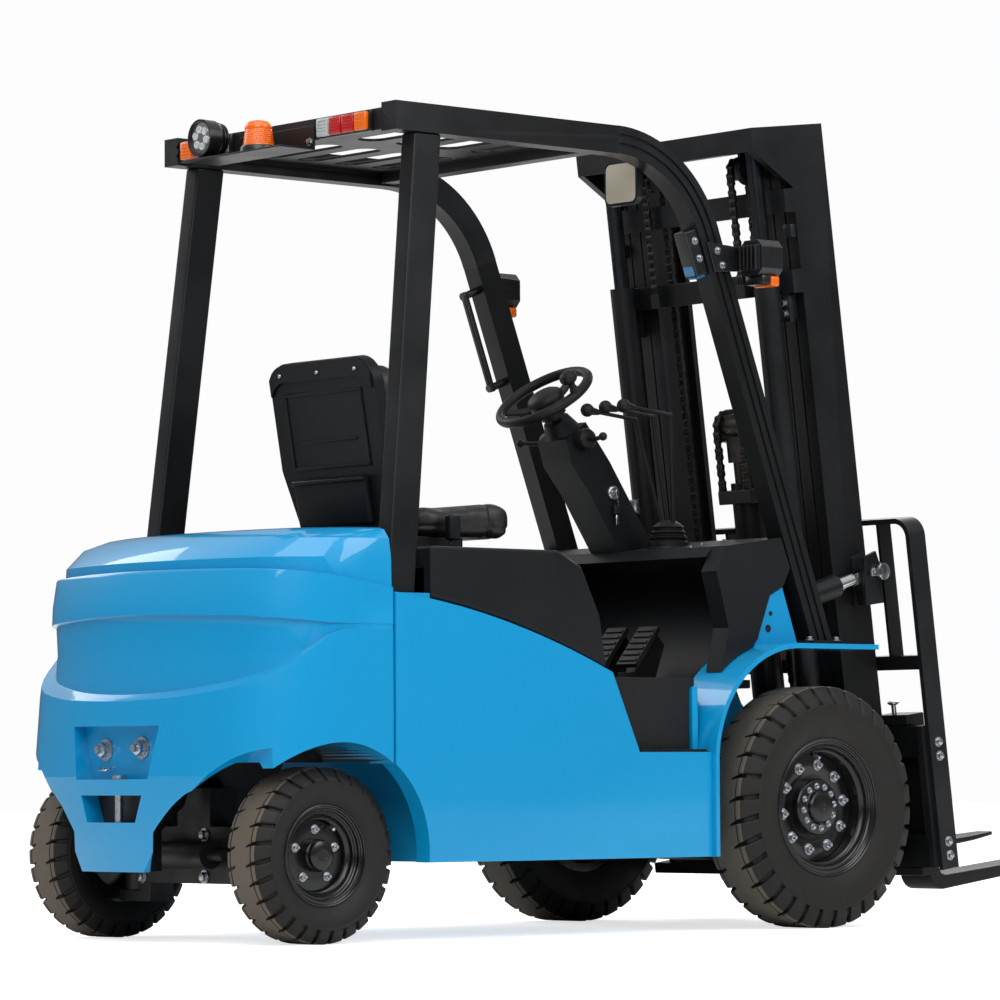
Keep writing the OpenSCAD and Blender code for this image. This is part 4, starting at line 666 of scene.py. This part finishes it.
def cushion(node, shrink, swell, seams):
    low, high = (Vector(corner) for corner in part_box(node))
    mid, size = (low + high) / 2, high - low
    bm = bmesh.new()
    bm.from_mesh(frame["nodes"][node].data)
    bmesh.ops.remove_doubles(bm, verts=bm.verts, dist=softening["merge"])
    shares = [1 - 2 * shrink / 1000 / s for s in size]
    bmesh.ops.scale(bm, vec=shares, space=Matrix.Translation(-mid), verts=bm.verts)
    mesh = bpy.data.meshes.new(node + ".pad")
    bm.to_mesh(mesh)
    bm.free()
    pad = bpy.data.objects.new(node + ".pad", mesh)
    scene.collection.objects.link(pad)
    remesh = pad.modifiers.new("voxels", "REMESH")
    remesh.mode = "VOXEL"
    remesh.voxel_size = stuffing["voxel"]
    applyModifiers(pad)
    blowUp(pad, swell)
    for v in pad.data.vertices:  # no further than the solid's room
        v.co = Vector([min(max(c, l), h) for c, l, h in zip(v.co, low, high)])
    sew(pad, seams)
    smooth = pad.modifiers.new("smooth", "SUBSURF")
    smooth.levels = smooth.render_levels = 1
    applyModifiers(pad)
    pad.data.materials.clear()
    pad.data.materials.append(seatVinyl)
    pad.data.polygons.foreach_set("use_smooth", [True] * len(pad.data.polygons))
    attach(pad, bodyOf[node])
    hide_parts(node)


for node, pad in pads.items():
    cushion(node, **pad)
print("seat pads:", len(pads))

# seat back dressing: top trim, sunk panel's frame, document pocket, rivets and belt buckles
seat = {
    "back": -91,
    "trim": {"half": 212, "top": 333, "round": 75, "flat": 147, "tall": 46, "thick": 10, "steps": 28},
    # x from the shell's rear face, half width, z and edge radius
    "panel": ((-5, 1), 165, (118, 320), 2.5), "slot": ((-4, 1), 120, (190, 198), 2),
    "pocket": ((-26, 1), 150, (-38, 92), 9), "flap": ((-31, -20), 153, (80, 92), 4),
    "rim": 9, "rivets": {"x": -10, "y": (-160, 0, 160), "z": 380, "radius": 0.0065},
    "buckle": {"x": (-1085, -1045), "y": 232, "half": 12, "z": (1060, 1128), "edge": 0.006},
    "belt": ((-1065, 232, 1062), (-1075, 228, 1045), (-1082, 205, 1034)), "beltRadius": 0.006,
}
bm = newMesh()
backFrame = Matrix.Translation(backSpot(0, 0, 0)) @ Matrix.Rotation(math.radians(-seatBack["lean"]), 4, "Y")


def backBox(x, y, z, edge):  # box in the seat back's frame, each way from and to
    low, high = (Vector((seat["back"] + a, b, c)) / 1000 for a, b, c in zip(x, y, z))
    addBox(bm, low, high, edge / 1000, 3, backFrame)


trim = seat["trim"]
trimSides = [-trim["half"] + 2 * trim["half"] * i / trim["steps"] for i in range(trim["steps"] + 1)]
trimFalls = [max(0, abs(y) - trim["flat"]) for y in trimSides]
trimLine = [(y, trim["top"] + math.sqrt(trim["round"] ** 2 - f ** 2)) for y, f in zip(trimSides, trimFalls)]
trimDepth = backSpot(-trim["thick"], 0, 0) - backSpot(0, 0, 0)
for (ya, za), (yb, zb) in zip(trimLine, trimLine[1:]):
    corners = ((ya, za), (yb, zb), (yb, zb - trim["tall"]), (ya, za - trim["tall"]))
    addSlab(bm, [backSpot(seat["back"] + 1, y, z) for y, z in corners], trimDepth)
x, half, (z0, z1), edge = seat["panel"]
rim = seat["rim"]
for y, z in (((-half, half), (z1, z1 + rim)), ((-half, half), (z0, z0 + rim)),
             ((-half, rim - half), (z0, z1)), ((half - rim, half), (z0, z1))):
    backBox(x, y, z, edge)
for key in ("slot", "pocket", "flap"):
    x, half, z, edge = seat[key]
    backBox(x, (-half, half), z, edge)
rivets = seat["rivets"]
for y in rivets["y"]:
    addBall(bm, backSpot(seat["back"] + rivets["x"], y, rivets["z"]), rivets["radius"], mat=1)
buckle = seat["buckle"]
for side in (-1, 1):
    low = spot(buckle["x"][0], side * buckle["y"] - buckle["half"], buckle["z"][0])
    high = spot(buckle["x"][1], side * buckle["y"] + buckle["half"], buckle["z"][1])
    addBox(bm, low, high, buckle["edge"], 3)
    addTube(bm, [spot(x, side * y, z) for x, y, z in seat["belt"]], seat["beltRadius"], sides=8)
finishPiece("seatDressing", bm, [grainedAbs, zincPlate], "chassis")

# tail lamps: black tray and four ribbed lenses each side, amber outside
tail = {"inner": 190, "outer": 405, "tray": (-1490, -1476, 2113, 2169), "lens": (-1503, -1489, 2117, 2165),
        "colours": (1, 2, 2, 3), "pitch": 52.5, "gap": 5, "rib": (-1504.4, -1502, 2123, 3.6), "ribs": 5,
        "ribPitch": 8.4, "trayEdge": 0.002, "lensEdge": 0.004, "ribEdge": 0.001}
bm = newMesh()
for side in (-1, 1):
    y0, y1 = sorted((side * tail["inner"], side * tail["outer"]))
    x0, x1, z0, z1 = tail["tray"]
    addBox(bm, spot(x0, y0, z0), spot(x1, y1, z1), tail["trayEdge"], 2)
    for i, lens in enumerate(tail["colours"]):
        outer = tail["outer"] - i * tail["pitch"]
        y0, y1 = sorted((side * (outer - tail["gap"]), side * (outer - tail["pitch"])))
        x0, x1, z0, z1 = tail["lens"]
        addBox(bm, spot(x0, y0, z0), spot(x1, y1, z1), tail["lensEdge"], 3, mat=lens)
        x0, x1, low, high = tail["rib"]
        for k in range(tail["ribs"]):
            z = low + k * tail["ribPitch"]
            foot, top = spot(x0, y0 + tail["gap"], z), spot(x1, y1 - tail["gap"], z + high)
            addBox(bm, foot, top, tail["ribEdge"], 1, mat=lens)
tailMats = [smoothAbs, amberLens, redLens, clearLens]
finishPiece("tailLamps", bm, tailMats, "chassis", ["tail_lamps"])

# beacon: black foot and a ribbed amber dome
beacon = {
    "at": (-1542, 0, 2094), "steps": 48,
    "foot": [(0, 0.0), (0.050, 0.0), (0.050, 0.011), (0.047, 0.016), (0.0435, 0.0165), (0, 0.0165)],
    "dome": [(0, 0.0168), (0.043, 0.0168)] + ribbed(8, 0.043, 0.0007, 0.0016, 0.018, 0.0055, 0.0027)
    + [(0.0375, 0.066), (0.035, 0.074), (0.028, 0.081), (0.014, 0.0848), (0, 0.0855)],
}
bm = newMesh()
for mat, key in enumerate(("foot", "dome")):
    addSpin(bm, spot(*beacon["at"]), up, beacon[key], beacon["steps"], mat=mat)
finishPiece("beaconDome", bm, [smoothAbs, amberLens], "chassis", ["beacon"])

# work lamp face: bright bowl, six cells and bezel ring
workLamp = {
    "at": (-1576, 205, 2151), "cells": 6, "first": 15, "ring": 0.024,
    "bowl": [(0, 0.0005), (0.0425, 0.0005), (0.0425, 0.002), (0, 0.0045)],
    "cell": [(0.0105, 0.002), (0.0105, 0.006), (0.0085, 0.0072), (0.004, 0.0052), (0, 0.0046)],
    "bezel": [(0.0425, 0.0), (0.046, 0.009), (0.0505, 0.0095), (0.0508, -0.004)],
}
bm = newMesh()
lampFace = spot(*workLamp["at"])
addSpin(bm, lampFace, rear, workLamp["bowl"], steps=40, mat=1)
for i in range(workLamp["cells"]):
    turn = math.radians(360 / workLamp["cells"] * i + workLamp["first"])
    cell = lampFace + Vector((0, math.cos(turn), math.sin(turn))) * workLamp["ring"]
    addSpin(bm, cell, rear, workLamp["cell"], steps=16, mat=0)
addSpin(bm, lampFace, rear, workLamp["bezel"], steps=40, mat=2)
finishPiece("workLampFace", bm, [clearLens, hardChrome, smoothAbs], "chassis")

# head lamps: lens in the hood, amber indicator under the housing and bracket bolts
headLamp = {"y": 551, "lens": (-196, 1850, 37, 42, 16), "thick": 0.004,
            # x, half width, z, edge radius, steps and material
            "holder": (-240, -206, 34, 1776, 1802, 0.004, 2, 2),
            "indicator": (-207, -176, 38, 1772, 1801, 0.006, 3, 1),
            "bolts": ((-335, 506, 1868), (-316, 506, 1829))}
bm = newMesh()
for side in (-1, 1):
    y = side * headLamp["y"]
    x, z, wide, high, corner = headLamp["lens"]
    lens = [spot(x, y + a, z + b) for a, b in roundRect(-wide, wide, -high, high, corner)]
    addSlab(bm, lens, Vector((headLamp["thick"], 0, 0)), mat=0)
    for key in ("holder", "indicator"):
        x0, x1, half, z0, z1, edge, steps, mat = headLamp[key]
        addBox(bm, spot(x0, y - half, z0), spot(x1, y + half, z1), edge, steps, mat=mat)
    for x, y, z in headLamp["bolts"]:
        addBolt(bm, spot(x, side * y, z), (0, side, 0), threads["m8"], mat=3)
headMats = [clearLens, amberLens, smoothAbs, zincPlate]
finishPiece("headLampLenses", bm, headMats, "chassis")

# spot lamp: lower and rear lens, bolts
spotLamp = {"y": -471, "low": (99, 6), "lowLens": (46, 79, -20, 20, 6), "rear": (83, 3),
            "rearLens": (66, 94, -19, 19, 6), "bolts": ((58, -496, 2), (58, -496, 52))}
bm = newMesh()
z, thick = spotLamp["low"]
lens = [postSpot(a, b + spotLamp["y"], z) for a, b in roundRect(*spotLamp["lowLens"])]
addSlab(bm, lens, postSpot(0, 0, thick) - postSpot(0, 0, 0))
x, thick = spotLamp["rear"]
lens = [postSpot(x, b + spotLamp["y"], a) for a, b in roundRect(*spotLamp["rearLens"])]
addSlab(bm, lens, postSpot(thick, 0, 0) - postSpot(0, 0, 0))
for place in spotLamp["bolts"]:
    addBolt(bm, postSpot(*place), (0, -1, 0), threads["m8"], mat=1)
finishPiece("spotLampLens", bm, [blueLens, zincPlate], "chassis")

# mirror glass, with its reflection painted into its pale cream colour
mirror = {"x": -565, "glass": (-425, -307, 1997, 2105, 17), "thick": 0.0025}
bm = newMesh()
addSlab(bm, [spot(mirror["x"], y, z) for y, z in roundRect(*mirror["glass"])], rear * mirror["thick"])
finishPiece("mirrorGlassPaintedReflection", bm, [mirrorGlassPaintedReflection], "chassis")
print("lamps and mirror: 6")

# steering wheel: round grip, three broad spokes, domed cap and spinner knob
wheel = {
    "at": 545, "ring": 136, "grip": 14, "sides": 16, "spokes": (0, 120, 240),
    # along a spoke: reach, half width, height and thickness
    "stations": [(40, 26, -24, 9), (70, 21, -22, 8), (105, 16, -14, 8), (132, 15, -3, 8)],
    "taper": 0.8, "ridge": -2,
    "cap": [(0.0, -0.061), (0.038, -0.061), (0.040, -0.03), (0.052, -0.022), (0.055, -0.008), (0.050, 0.004),
            (0.038, 0.012), (0.02, 0.016), (0, 0.017)],
    "knob": [(0, 0.006), (0.016, 0.008), (0.013, 0.018), (0.009, 0.026), (0.010, 0.034), (0.019, 0.040),
             (0.0255, 0.048), (0.026, 0.056), (0.021, 0.066), (0.011, 0.072), (0, 0.0735)],
}
bm = newMesh()
hub = columnSpot(0, 0, wheel["at"])
shaft = columnSpot(0, 0, 1) - columnSpot(0, 0, 0)
gripTurns = [2 * math.pi * i / wheel["sides"] for i in range(wheel["sides"])]
grip = [((wheel["ring"] + wheel["grip"] * math.cos(t)) / 1000, wheel["grip"] * math.sin(t) / 1000)
        for t in gripTurns]
addSpin(bm, hub, shaft, grip, steps=72, closed=True)
addSpin(bm, hub, shaft, wheel["cap"], steps=40)


def wheelWay(a, b):  # a millimetre step in the wheel's plane
    return (columnSpot(a, 0, 0) - columnSpot(0, 0, 0)) + Vector((0, b / 1000, 0))


for turn in wheel["spokes"]:
    t = math.radians(turn)
    reach = wheelWay(math.cos(t), math.sin(t))
    across = wheelWay(-math.sin(t), math.cos(t))
    rings = []
    for r, w, h, thick in wheel["stations"]:
        inner, half, ridge = w * wheel["taper"], thick / 2, wheel["ridge"]
        shape = ((-w, ridge), (-inner, half), (inner, half), (w, ridge), (inner, -half), (-inner, -half))
        mid = hub + reach * r + shaft * h
        rings.append([bm.verts.new(mid + across * a + shaft * b) for a, b in shape])
    for a, b in zip(rings, rings[1:]):
        for i in range(len(a)):
            k = (i + 1) % len(a)
            newFace(bm, (a[i], a[k], b[k], b[i]), 0)
    newFace(bm, rings[0][::-1], 0)
    newFace(bm, rings[-1], 0)
addSpin(bm, columnSpot(0, -wheel["ring"], wheel["at"]), shaft, wheel["knob"], steps=28)
finishPiece("steeringWheelGrip", bm, [moulded], "steering_wheel", ["steering_wheel"], sharp=40)

# column dressing: ignition lock with its key, switch barrels and stalks; bellows on the lever boot
columnFittings = {
    "lock": (14, -60, 211),
    "lockRing": [(0.021, -0.002), (0.021, 0.004), (0.018, 0.007), (0.013, 0.0072), (0.012, 0.004),
                 (0, 0.004)],
    # metres from the lock: low corner, high corner, edge, steps, material
    "key": [((-0.002, -0.016, -0.010), (0.002, -0.003, 0.010), 0.001, 1, 1),
            ((-0.006, -0.014, -0.062), (0.02, -0.008, -0.034), 0.004, 3, 0),
            ((0.001, -0.0125, -0.092), (0.010, -0.0098, -0.06), 0.001, 1, 1)],
    "keyRing": [(0.0, -0.013, -0.004), (0.004, -0.016, -0.02), (0.008, -0.013, -0.036)], "ringRadius": 0.0016,
    "barrel": [(0.0, 0.0), (0.031, 0.0), (0.031, 0.044), (0.027, 0.052), (0.018, 0.056), (0, 0.057)],
    "barrelAt": (2, 40, 398), "stalkFrom": 90, "stalks": ((-1, 92), (1, 78)),
    "stalk": [(2, 0, 398), (-10, 0.5, 404), (-22, 1, 416)],  # share of the reach in the middle
    "stalkRadius": 0.0065, "stalkBall": 0.012,
    "boot": (-205, -160, 1076),
    "bellows": [(0.066, -0.024)] + ribbed(5, 0.0625, 0.0042, 0.009, -0.012, 0.015, 0.0075)
    + [(0.018, 0.068), (0, 0.068)],
}
fit = columnFittings
bm = newMesh()
lock = columnSpot(*fit["lock"])
addSpin(bm, lock, (0, -1, 0), fit["lockRing"], steps=28, mat=1)
for low, high, edge, steps, mat in fit["key"]:
    addBox(bm, lock + Vector(low), lock + Vector(high), edge, steps, mat=mat)
addTube(bm, [lock + Vector(p) for p in fit["keyRing"]], fit["ringRadius"], sides=6, mat=1)
for side, reach in fit["stalks"]:
    x, y, z = fit["barrelAt"]
    addSpin(bm, columnSpot(x, side * y, z), (0, side, 0), fit["barrel"], steps=28)
    stalk = [columnSpot(x, side * (fit["stalkFrom"] + reach * share), z) for x, share, z in fit["stalk"]]
    addTube(bm, stalk, fit["stalkRadius"], sides=8)
    addBall(bm, stalk[-1], fit["stalkBall"])
addSpin(bm, spot(*fit["boot"]), up, fit["bellows"], steps=36)
finishPiece("columnDressing", bm, [moulded, zincPlate], "chassis", sharp=50)

# leaf chains: waisted plates in turn, on pins
chains = {"pitch": 24, "wide": (-10.2, -3.4, 3.4, 10.2), "narrow": (-6.8, 0, 6.8), "plate": 2.9, "eye": 6.6,
          "waist": 4.4, "round": 0.7, "pin": 3.4, "pinHalf": 13, "pinSides": 8, "bends": 12}


def evenKnots(path, pitch):  # points at a near even pitch along a path
    lengths = [0]
    for a, b in zip(path, path[1:]):
        lengths.append(lengths[-1] + (b - a).length)
    count = max(1, round(lengths[-1] / pitch))
    knots = []
    for k in range(count + 1):
        want = lengths[-1] * k / count
        i = next(i for i in range(len(path) - 1) if want <= lengths[i + 1] + tiny)
        knots.append(path[i].lerp(path[i + 1], (want - lengths[i]) / (lengths[i + 1] - lengths[i])))
    return knots


def addChain(bm, path, y):
    c = chains
    e, w, n = c["eye"], c["waist"], c["eye"] * c["round"]
    knots = evenKnots(path, c["pitch"])
    for k, (a, b) in enumerate(zip(knots, knots[1:])):
        run = (b - a).length
        way = (b - a) / run
        side = Vector((-way.y, way.x))
        shape = [(0, e), (-n, n), (-e, 0), (-n, -n), (0, -e), (run / 2, -w), (run, -e), (run + n, -n),
                 (run + e, 0), (run + n, n), (run, e), (run / 2, w)]
        line = [a + way * u + side * v for u, v in shape]
        for off in c["narrow"] if k % 2 else c["wide"]:
            plate = [mastSpot(p.x, y + off - c["plate"] / 2, p.y) for p in line]
            addSlab(bm, plate, Vector((0, c["plate"] / 1000, 0)))
        turns = [2 * math.pi * i / c["pinSides"] for i in range(c["pinSides"])]
        pin = [b + Vector((math.cos(t), math.sin(t))) * c["pin"] for t in turns]
        pinRing = [mastSpot(p.x, y - c["pinHalf"], p.y) for p in pin]
        addSlab(bm, pinRing, Vector((0, 2 * c["pinHalf"] / 1000, 0)))


# strand: side places, sheave centre and radius, lower ends behind and in front, joint, share kept
strands = {
    "lift_chains": {"ys": (-180, 180), "sheave": (300, 1795, 35), "back": 1471, "front": -134,
                    "joint": "mast_raise", "keep": 0.3},
    "free_lift_chains": {"ys": (-52, 52), "sheave": (380, 1060, 50), "back": 881, "front": 116,
                         "joint": "free_lift", "keep": 0.26},
}
for node, s in strands.items():
    x, z, r = s["sheave"]
    bend = [math.pi * i / chains["bends"] for i in range(chains["bends"] + 1)]
    over = [Vector((x - r, s["back"]))] + [Vector((x - r * math.cos(t), z + r * math.sin(t))) for t in bend]
    bm = newMesh()
    for y in s["ys"]:
        addChain(bm, over, y)
    finishPiece(node + ".over", bm, [oiledSteel], bodyOf[node], [node], sharp=30)
    bm = newMesh()
    for y in s["ys"]:
        addChain(bm, [Vector((x + r, z)), Vector((x + r, s["front"]))], y)
    run = finishPiece(node + ".run", bm, [oiledSteel], bodyOf[node], sharp=30)
    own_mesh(run)
print("chains: 4")

# fasteners and small fittings, one mesh a body: places and width across
bodyBolts = {
    "holdDown": ((-1978, 91, 500), (-1978, -66, 504)), "holdDownStud": 0.012,
    "wire": ((-1977, 96, 455), (-1998, 96, 449), (-2004, 92, 446), (-2004, 64, 446), (-1998, 60, 449),
             (-1977, 60, 455)), "wireRadius": 0.0028,  # locking wire of the counterweight's bolts
    "flange": ((221, 165), (-221, 165), (-49, 168), (-49, 277)), "flangeX": -1765,  # steering cylinder
    "cowl": ((-213, -304), (-92, -110), (-92, -268), (-300, -352), (-92, 110), (-92, 268), (-213, 304),
             (-300, 352)),
    "cowlTop": (1088, -62, 0.13445),  # height, where, and slope
    "lampPlate": ((-1481, -143, 2112), (-1481, 143, 2112)),
    "postFeet": ((8, 505, 800), (112, 505, 800)),
}
fit = bodyBolts
bm = newMesh()
for place in fit["holdDown"]:
    addBolt(bm, spot(*place), rear, threads["m24"], stud=fit["holdDownStud"])
addTube(bm, [spot(*p) for p in fit["wire"]], fit["wireRadius"], sides=8, round=False)
for y, z in fit["flange"]:
    addBolt(bm, spot(fit["flangeX"], y, z), rear, threads["m14"])
high, start, slope = fit["cowlTop"]
for x, y in fit["cowl"]:
    addBolt(bm, spot(x, y, high + (x - start) * slope), up, threads["m5"])
for place in fit["lampPlate"]:
    addBolt(bm, spot(*place), rear, threads["m8"])
for side in (-1, 1):
    for x, y, z in fit["postFeet"]:
        addBolt(bm, spot(x, side * y, z), up, threads["m10"])
finishPiece("bodyFasteners", bm, [zincPlate], "chassis")

# serrated step edges, pedal treads and the holes in the fender plates
treads = {
    "step": (-694, -446, 540, 572, 487, 491), "teeth": 20, "tooth": (-690, 6, 490, 496), "toothPitch": 12.3,
    "pedals": (-190, -60), "pedalFoot": (-400, 735), "pedalRun": (88, 107), "pedalLean": -50.6,
    "bars": 6, "firstBar": 0.1, "barPitch": 0.155, "bar": ((-0.004, -0.034, -0.001), (0.006, 0.034, 0.0045)),
    "holes": ((-132, 872, 0.007), (-142, 830, 0.011)), "holeY": (494.6, 493),
    "stepEdge": 0.001, "ribEdge": 0.0015,
}
fit = treads
bm = newMesh()
for side in (-1, 1):
    x0, x1, inner, outer, z0, z1 = fit["step"]
    y0, y1 = sorted((side * inner, side * outer))
    addBox(bm, spot(x0, y0, z0), spot(x1, y1, z1), fit["stepEdge"], 1)
    first, long, z0, z1 = fit["tooth"]
    for i in range(fit["teeth"]):
        x = first + i * fit["toothPitch"]
        addBox(bm, spot(x, y0, z0), spot(x + long, y1, z1), fit["ribEdge"], 1)
(footX, footZ), (runX, runZ) = fit["pedalFoot"], fit["pedalRun"]
lean = Matrix.Rotation(math.radians(fit["pedalLean"]), 4, "Y")
for y in fit["pedals"]:
    for i in range(fit["bars"]):
        t = fit["firstBar"] + i * fit["barPitch"]
        foot = spot(footX + runX * t, y, footZ + runZ * t)
        low, high = fit["bar"]
        addBox(bm, Vector(low), Vector(high), fit["ribEdge"], 1, Matrix.Translation(foot) @ lean)
for side in (-1, 1):
    for x, z, r in fit["holes"]:
        outer, inner = (spot(x, side * y, z) for y in fit["holeY"])
        addRod(bm, outer, inner, r, sides=20)
finishPiece("stepTreads", bm, [moulded], "chassis")

# outer mast: brackets, clamps, their pipe, and the tilt cylinders' eye pins with lock plates
mastFittings = {
    # x, y and z from and to, material
    "blocks": ((300, 322, 334, 366, 1588, 1626, 1), (288, 321, 302, 340, 1350, 1428, 1),
               (196, 212, 284, 318, 838, 880, 0), (192, 212, 288, 312, 748, 778, 0)),
    "bolts": ((288, 321, 1404, "m12"), (288, 321, 1374, "m12"), (322, 337, 1822, "m10")),
    "pipe": ((202, 300, 840), (202, 300, 776)), "pipeRadius": 0.006, "blockEdge": 0.003,
    "pin": (456, 434, 614), "pinRadius": 0.024, "pinEnds": (0.004, 0.010), "pinEdge": 0.002,
    "lock": ((-0.05, -0.004, -0.009), (-0.01, 0.004, 0.009)), "lockEdge": 0.001, "lockOut": 0.006,
    "lockBolt": (-0.042, 0.008),
}
fit = mastFittings
bm = newMesh()
mastFrame = Matrix.Translation(mastSpot(0, 0, 0)) @ mastTurn
for side in (-1, 1):
    out = Vector((0, side, 0))
    for x0, x1, y0, y1, z0, z1, mat in fit["blocks"]:
        y0, y1 = sorted((side * y0, side * y1))
        low, high = Vector((x0, y0, z0)) / 1000, Vector((x1, y1, z1)) / 1000
        addBox(bm, low, high, fit["blockEdge"], 2, mastFrame, mat)
    for x, y, z, thread in fit["bolts"]:
        addBolt(bm, mastSpot(x, side * y, z), mastRear, threads[thread])
    pipe = [mastSpot(x, side * y, z) for x, y, z in fit["pipe"]]
    addTube(bm, pipe, fit["pipeRadius"], sides=8, round=False)
    x, y, z = fit["pin"]
    pin = mastSpot(x, side * y, z)
    inner, outer = fit["pinEnds"]
    addRod(bm, pin - out * inner, pin + out * outer, fit["pinRadius"], sides=28, edge=fit["pinEdge"])
    low, high = fit["lock"]
    lockFrame = Matrix.Translation(pin + out * fit["lockOut"]) @ mastTurn
    addBox(bm, Vector(low), Vector(high), fit["lockEdge"], 1, lockFrame)
    behind, outer = fit["lockBolt"]
    addBolt(bm, pin + Vector((behind, side * outer, 0)), out, threads["m7"])
finishPiece("mastFasteners", bm, [zincPlate, blackPowder], "outer_mast")

# carriage: backrest bolts and fork latches
carriageFittings = {
    "bolts": ((524, 520, 114), (524, 520, 74), (524, 520, -172), (524, 520, -212)), "latch": (502, 380, 197),
    "stem": (0.03, 0.007), "knobAt": 0.028,
    "knob": [(0, 0), (0.011, 0.0), (0.017, 0.004), (0.017, 0.008), (0.009, 0.012), (0, 0.012)],
}
fit = carriageFittings
bm = newMesh()
for side in (-1, 1):
    for x, y, z in fit["bolts"]:
        addBolt(bm, mastSpot(x, side * y, z), (0, side, 0), threads["m12"])
    x, y, z = fit["latch"]
    top = mastSpot(x, side * y, z)
    tall, radius = fit["stem"]
    addRod(bm, top, top + mastUp * tall, radius, sides=16)
    addSpin(bm, top + mastUp * fit["knobAt"], mastUp, fit["knob"], steps=24)
finishPiece("carriageFasteners", bm, [zincPlate], "carriage")
print("fasteners: 4")

# pale studio floor, lifted to the backdrop's white for the camera alone
scene.view_settings.view_transform = "Standard"
studio = {"floorSize": 40, "floorGlow": 0.68, "backdrop": "#fdfdfe", "wallTop": 0.04, "domeTop": 0.7,
          "wallLight": 0.1, "domeLight": 0.72}
floorMat = finish("studioFloor", "#f4f4f3", "#f1f1f0", 900, 30, 0.02, 0.7, 0.05)
glow = floorMat.node_tree
floorShader = glow.nodes["Principled BSDF"]
ray = addNode(glow, "ShaderNodeLightPath")
lift = addNode(glow, "ShaderNodeMath", {0: ray.outputs["Is Camera Ray"], 1: studio["floorGlow"]},
               operation="MULTIPLY")
floorShader.inputs["Emission Color"].default_value = (1, 1, 1, 1)
glow.links.new(lift.outputs["Value"], floorShader.inputs["Emission Strength"])
sheet = bmesh.new()
bmesh.ops.create_grid(sheet, x_segments=1, y_segments=1, size=studio["floorSize"])
floorMesh = bpy.data.meshes.new("floor")
sheet.to_mesh(floorMesh)
sheet.free()
floorMesh.materials.append(floorMat)
floor = bpy.data.objects.new("floor", floorMesh)
scene.collection.objects.link(floor)

# the world is white behind the truck; as a light it is dim at the walls and bright overhead
world = bpy.data.worlds.new("studio")
scene.world = world
world.use_nodes = True
sky = world.node_tree
backdrop = sky.nodes["Background"]
backdrop.inputs["Color"].default_value = linear(studio["backdrop"])
ray = addNode(sky, "ShaderNodeLightPath")
way = addNode(sky, "ShaderNodeTexCoord")
height = addNode(sky, "ShaderNodeSeparateXYZ", {"Vector": way.outputs["Object"]})
dome = addNode(sky, "ShaderNodeMapRange", {
    "Value": height.outputs["Z"], "From Min": studio["wallTop"], "From Max": studio["domeTop"],
    "To Min": studio["wallLight"], "To Max": studio["domeLight"]})
power = addNode(sky, "ShaderNodeMapRange", {
    "Value": ray.outputs["Is Camera Ray"], "To Min": dome.outputs["Result"], "To Max": 1.0})
sky.links.new(power.outputs["Result"], backdrop.inputs["Strength"])

lamps = {  # softboxes: place, aim, size and watts
    "skyBox": ((-3.0, -2.0, 7.5), (0, 0, 0.6), 6.0, 250),
    "keyBox": ((-6.4, -5.2, 5.6), (-0.4, 0, 0.8), 5.0, 265),
    "sideBox": ((1.6, -6.6, 5.8), (0.2, 0, 0.7), 4.4, 235),
    "rimBox": ((-2.0, 7.0, 5.0), (0, 0, 1.0), 4.0, 150),
    "frontBox": ((6.5, 4.0, 5.0), (0.4, 0, 0.9), 4.0, 150),
}
for name, (place, aim, size, watts) in lamps.items():
    lamp = bpy.data.lights.new(name, "AREA")
    lamp.size = size
    lamp.energy = watts
    holder = bpy.data.objects.new(name, lamp)
    scene.collection.objects.link(holder)
    holder.location = place
    holder.rotation_euler = (Vector(aim) - Vector(place)).to_track_quat("-Z", "Y").to_euler()

# camera at the photo's angle
shot = {"at": (-9.0787, -9.8611, 0.427), "turn": -41.0113, "pitch": 3.3499, "roll": -0.3356, "lens": 169.585,
        "sensor": 36.0, "far": 200}
eye = bpy.data.cameras.new("photoCamera")
eye.sensor_width = shot["sensor"]
eye.lens = shot["lens"]
eye.clip_end = shot["far"]
camera = bpy.data.objects.new("photoCamera", eye)
scene.collection.objects.link(camera)
camera.matrix_world = (Matrix.Translation(shot["at"]) @ Matrix.Rotation(math.radians(shot["turn"]), 4, "Z")
                       @ Matrix.Rotation(math.radians(90 + shot["pitch"]), 4, "X")
                       @ Matrix.Rotation(math.radians(shot["roll"]), 4, "Z"))
scene.camera = camera
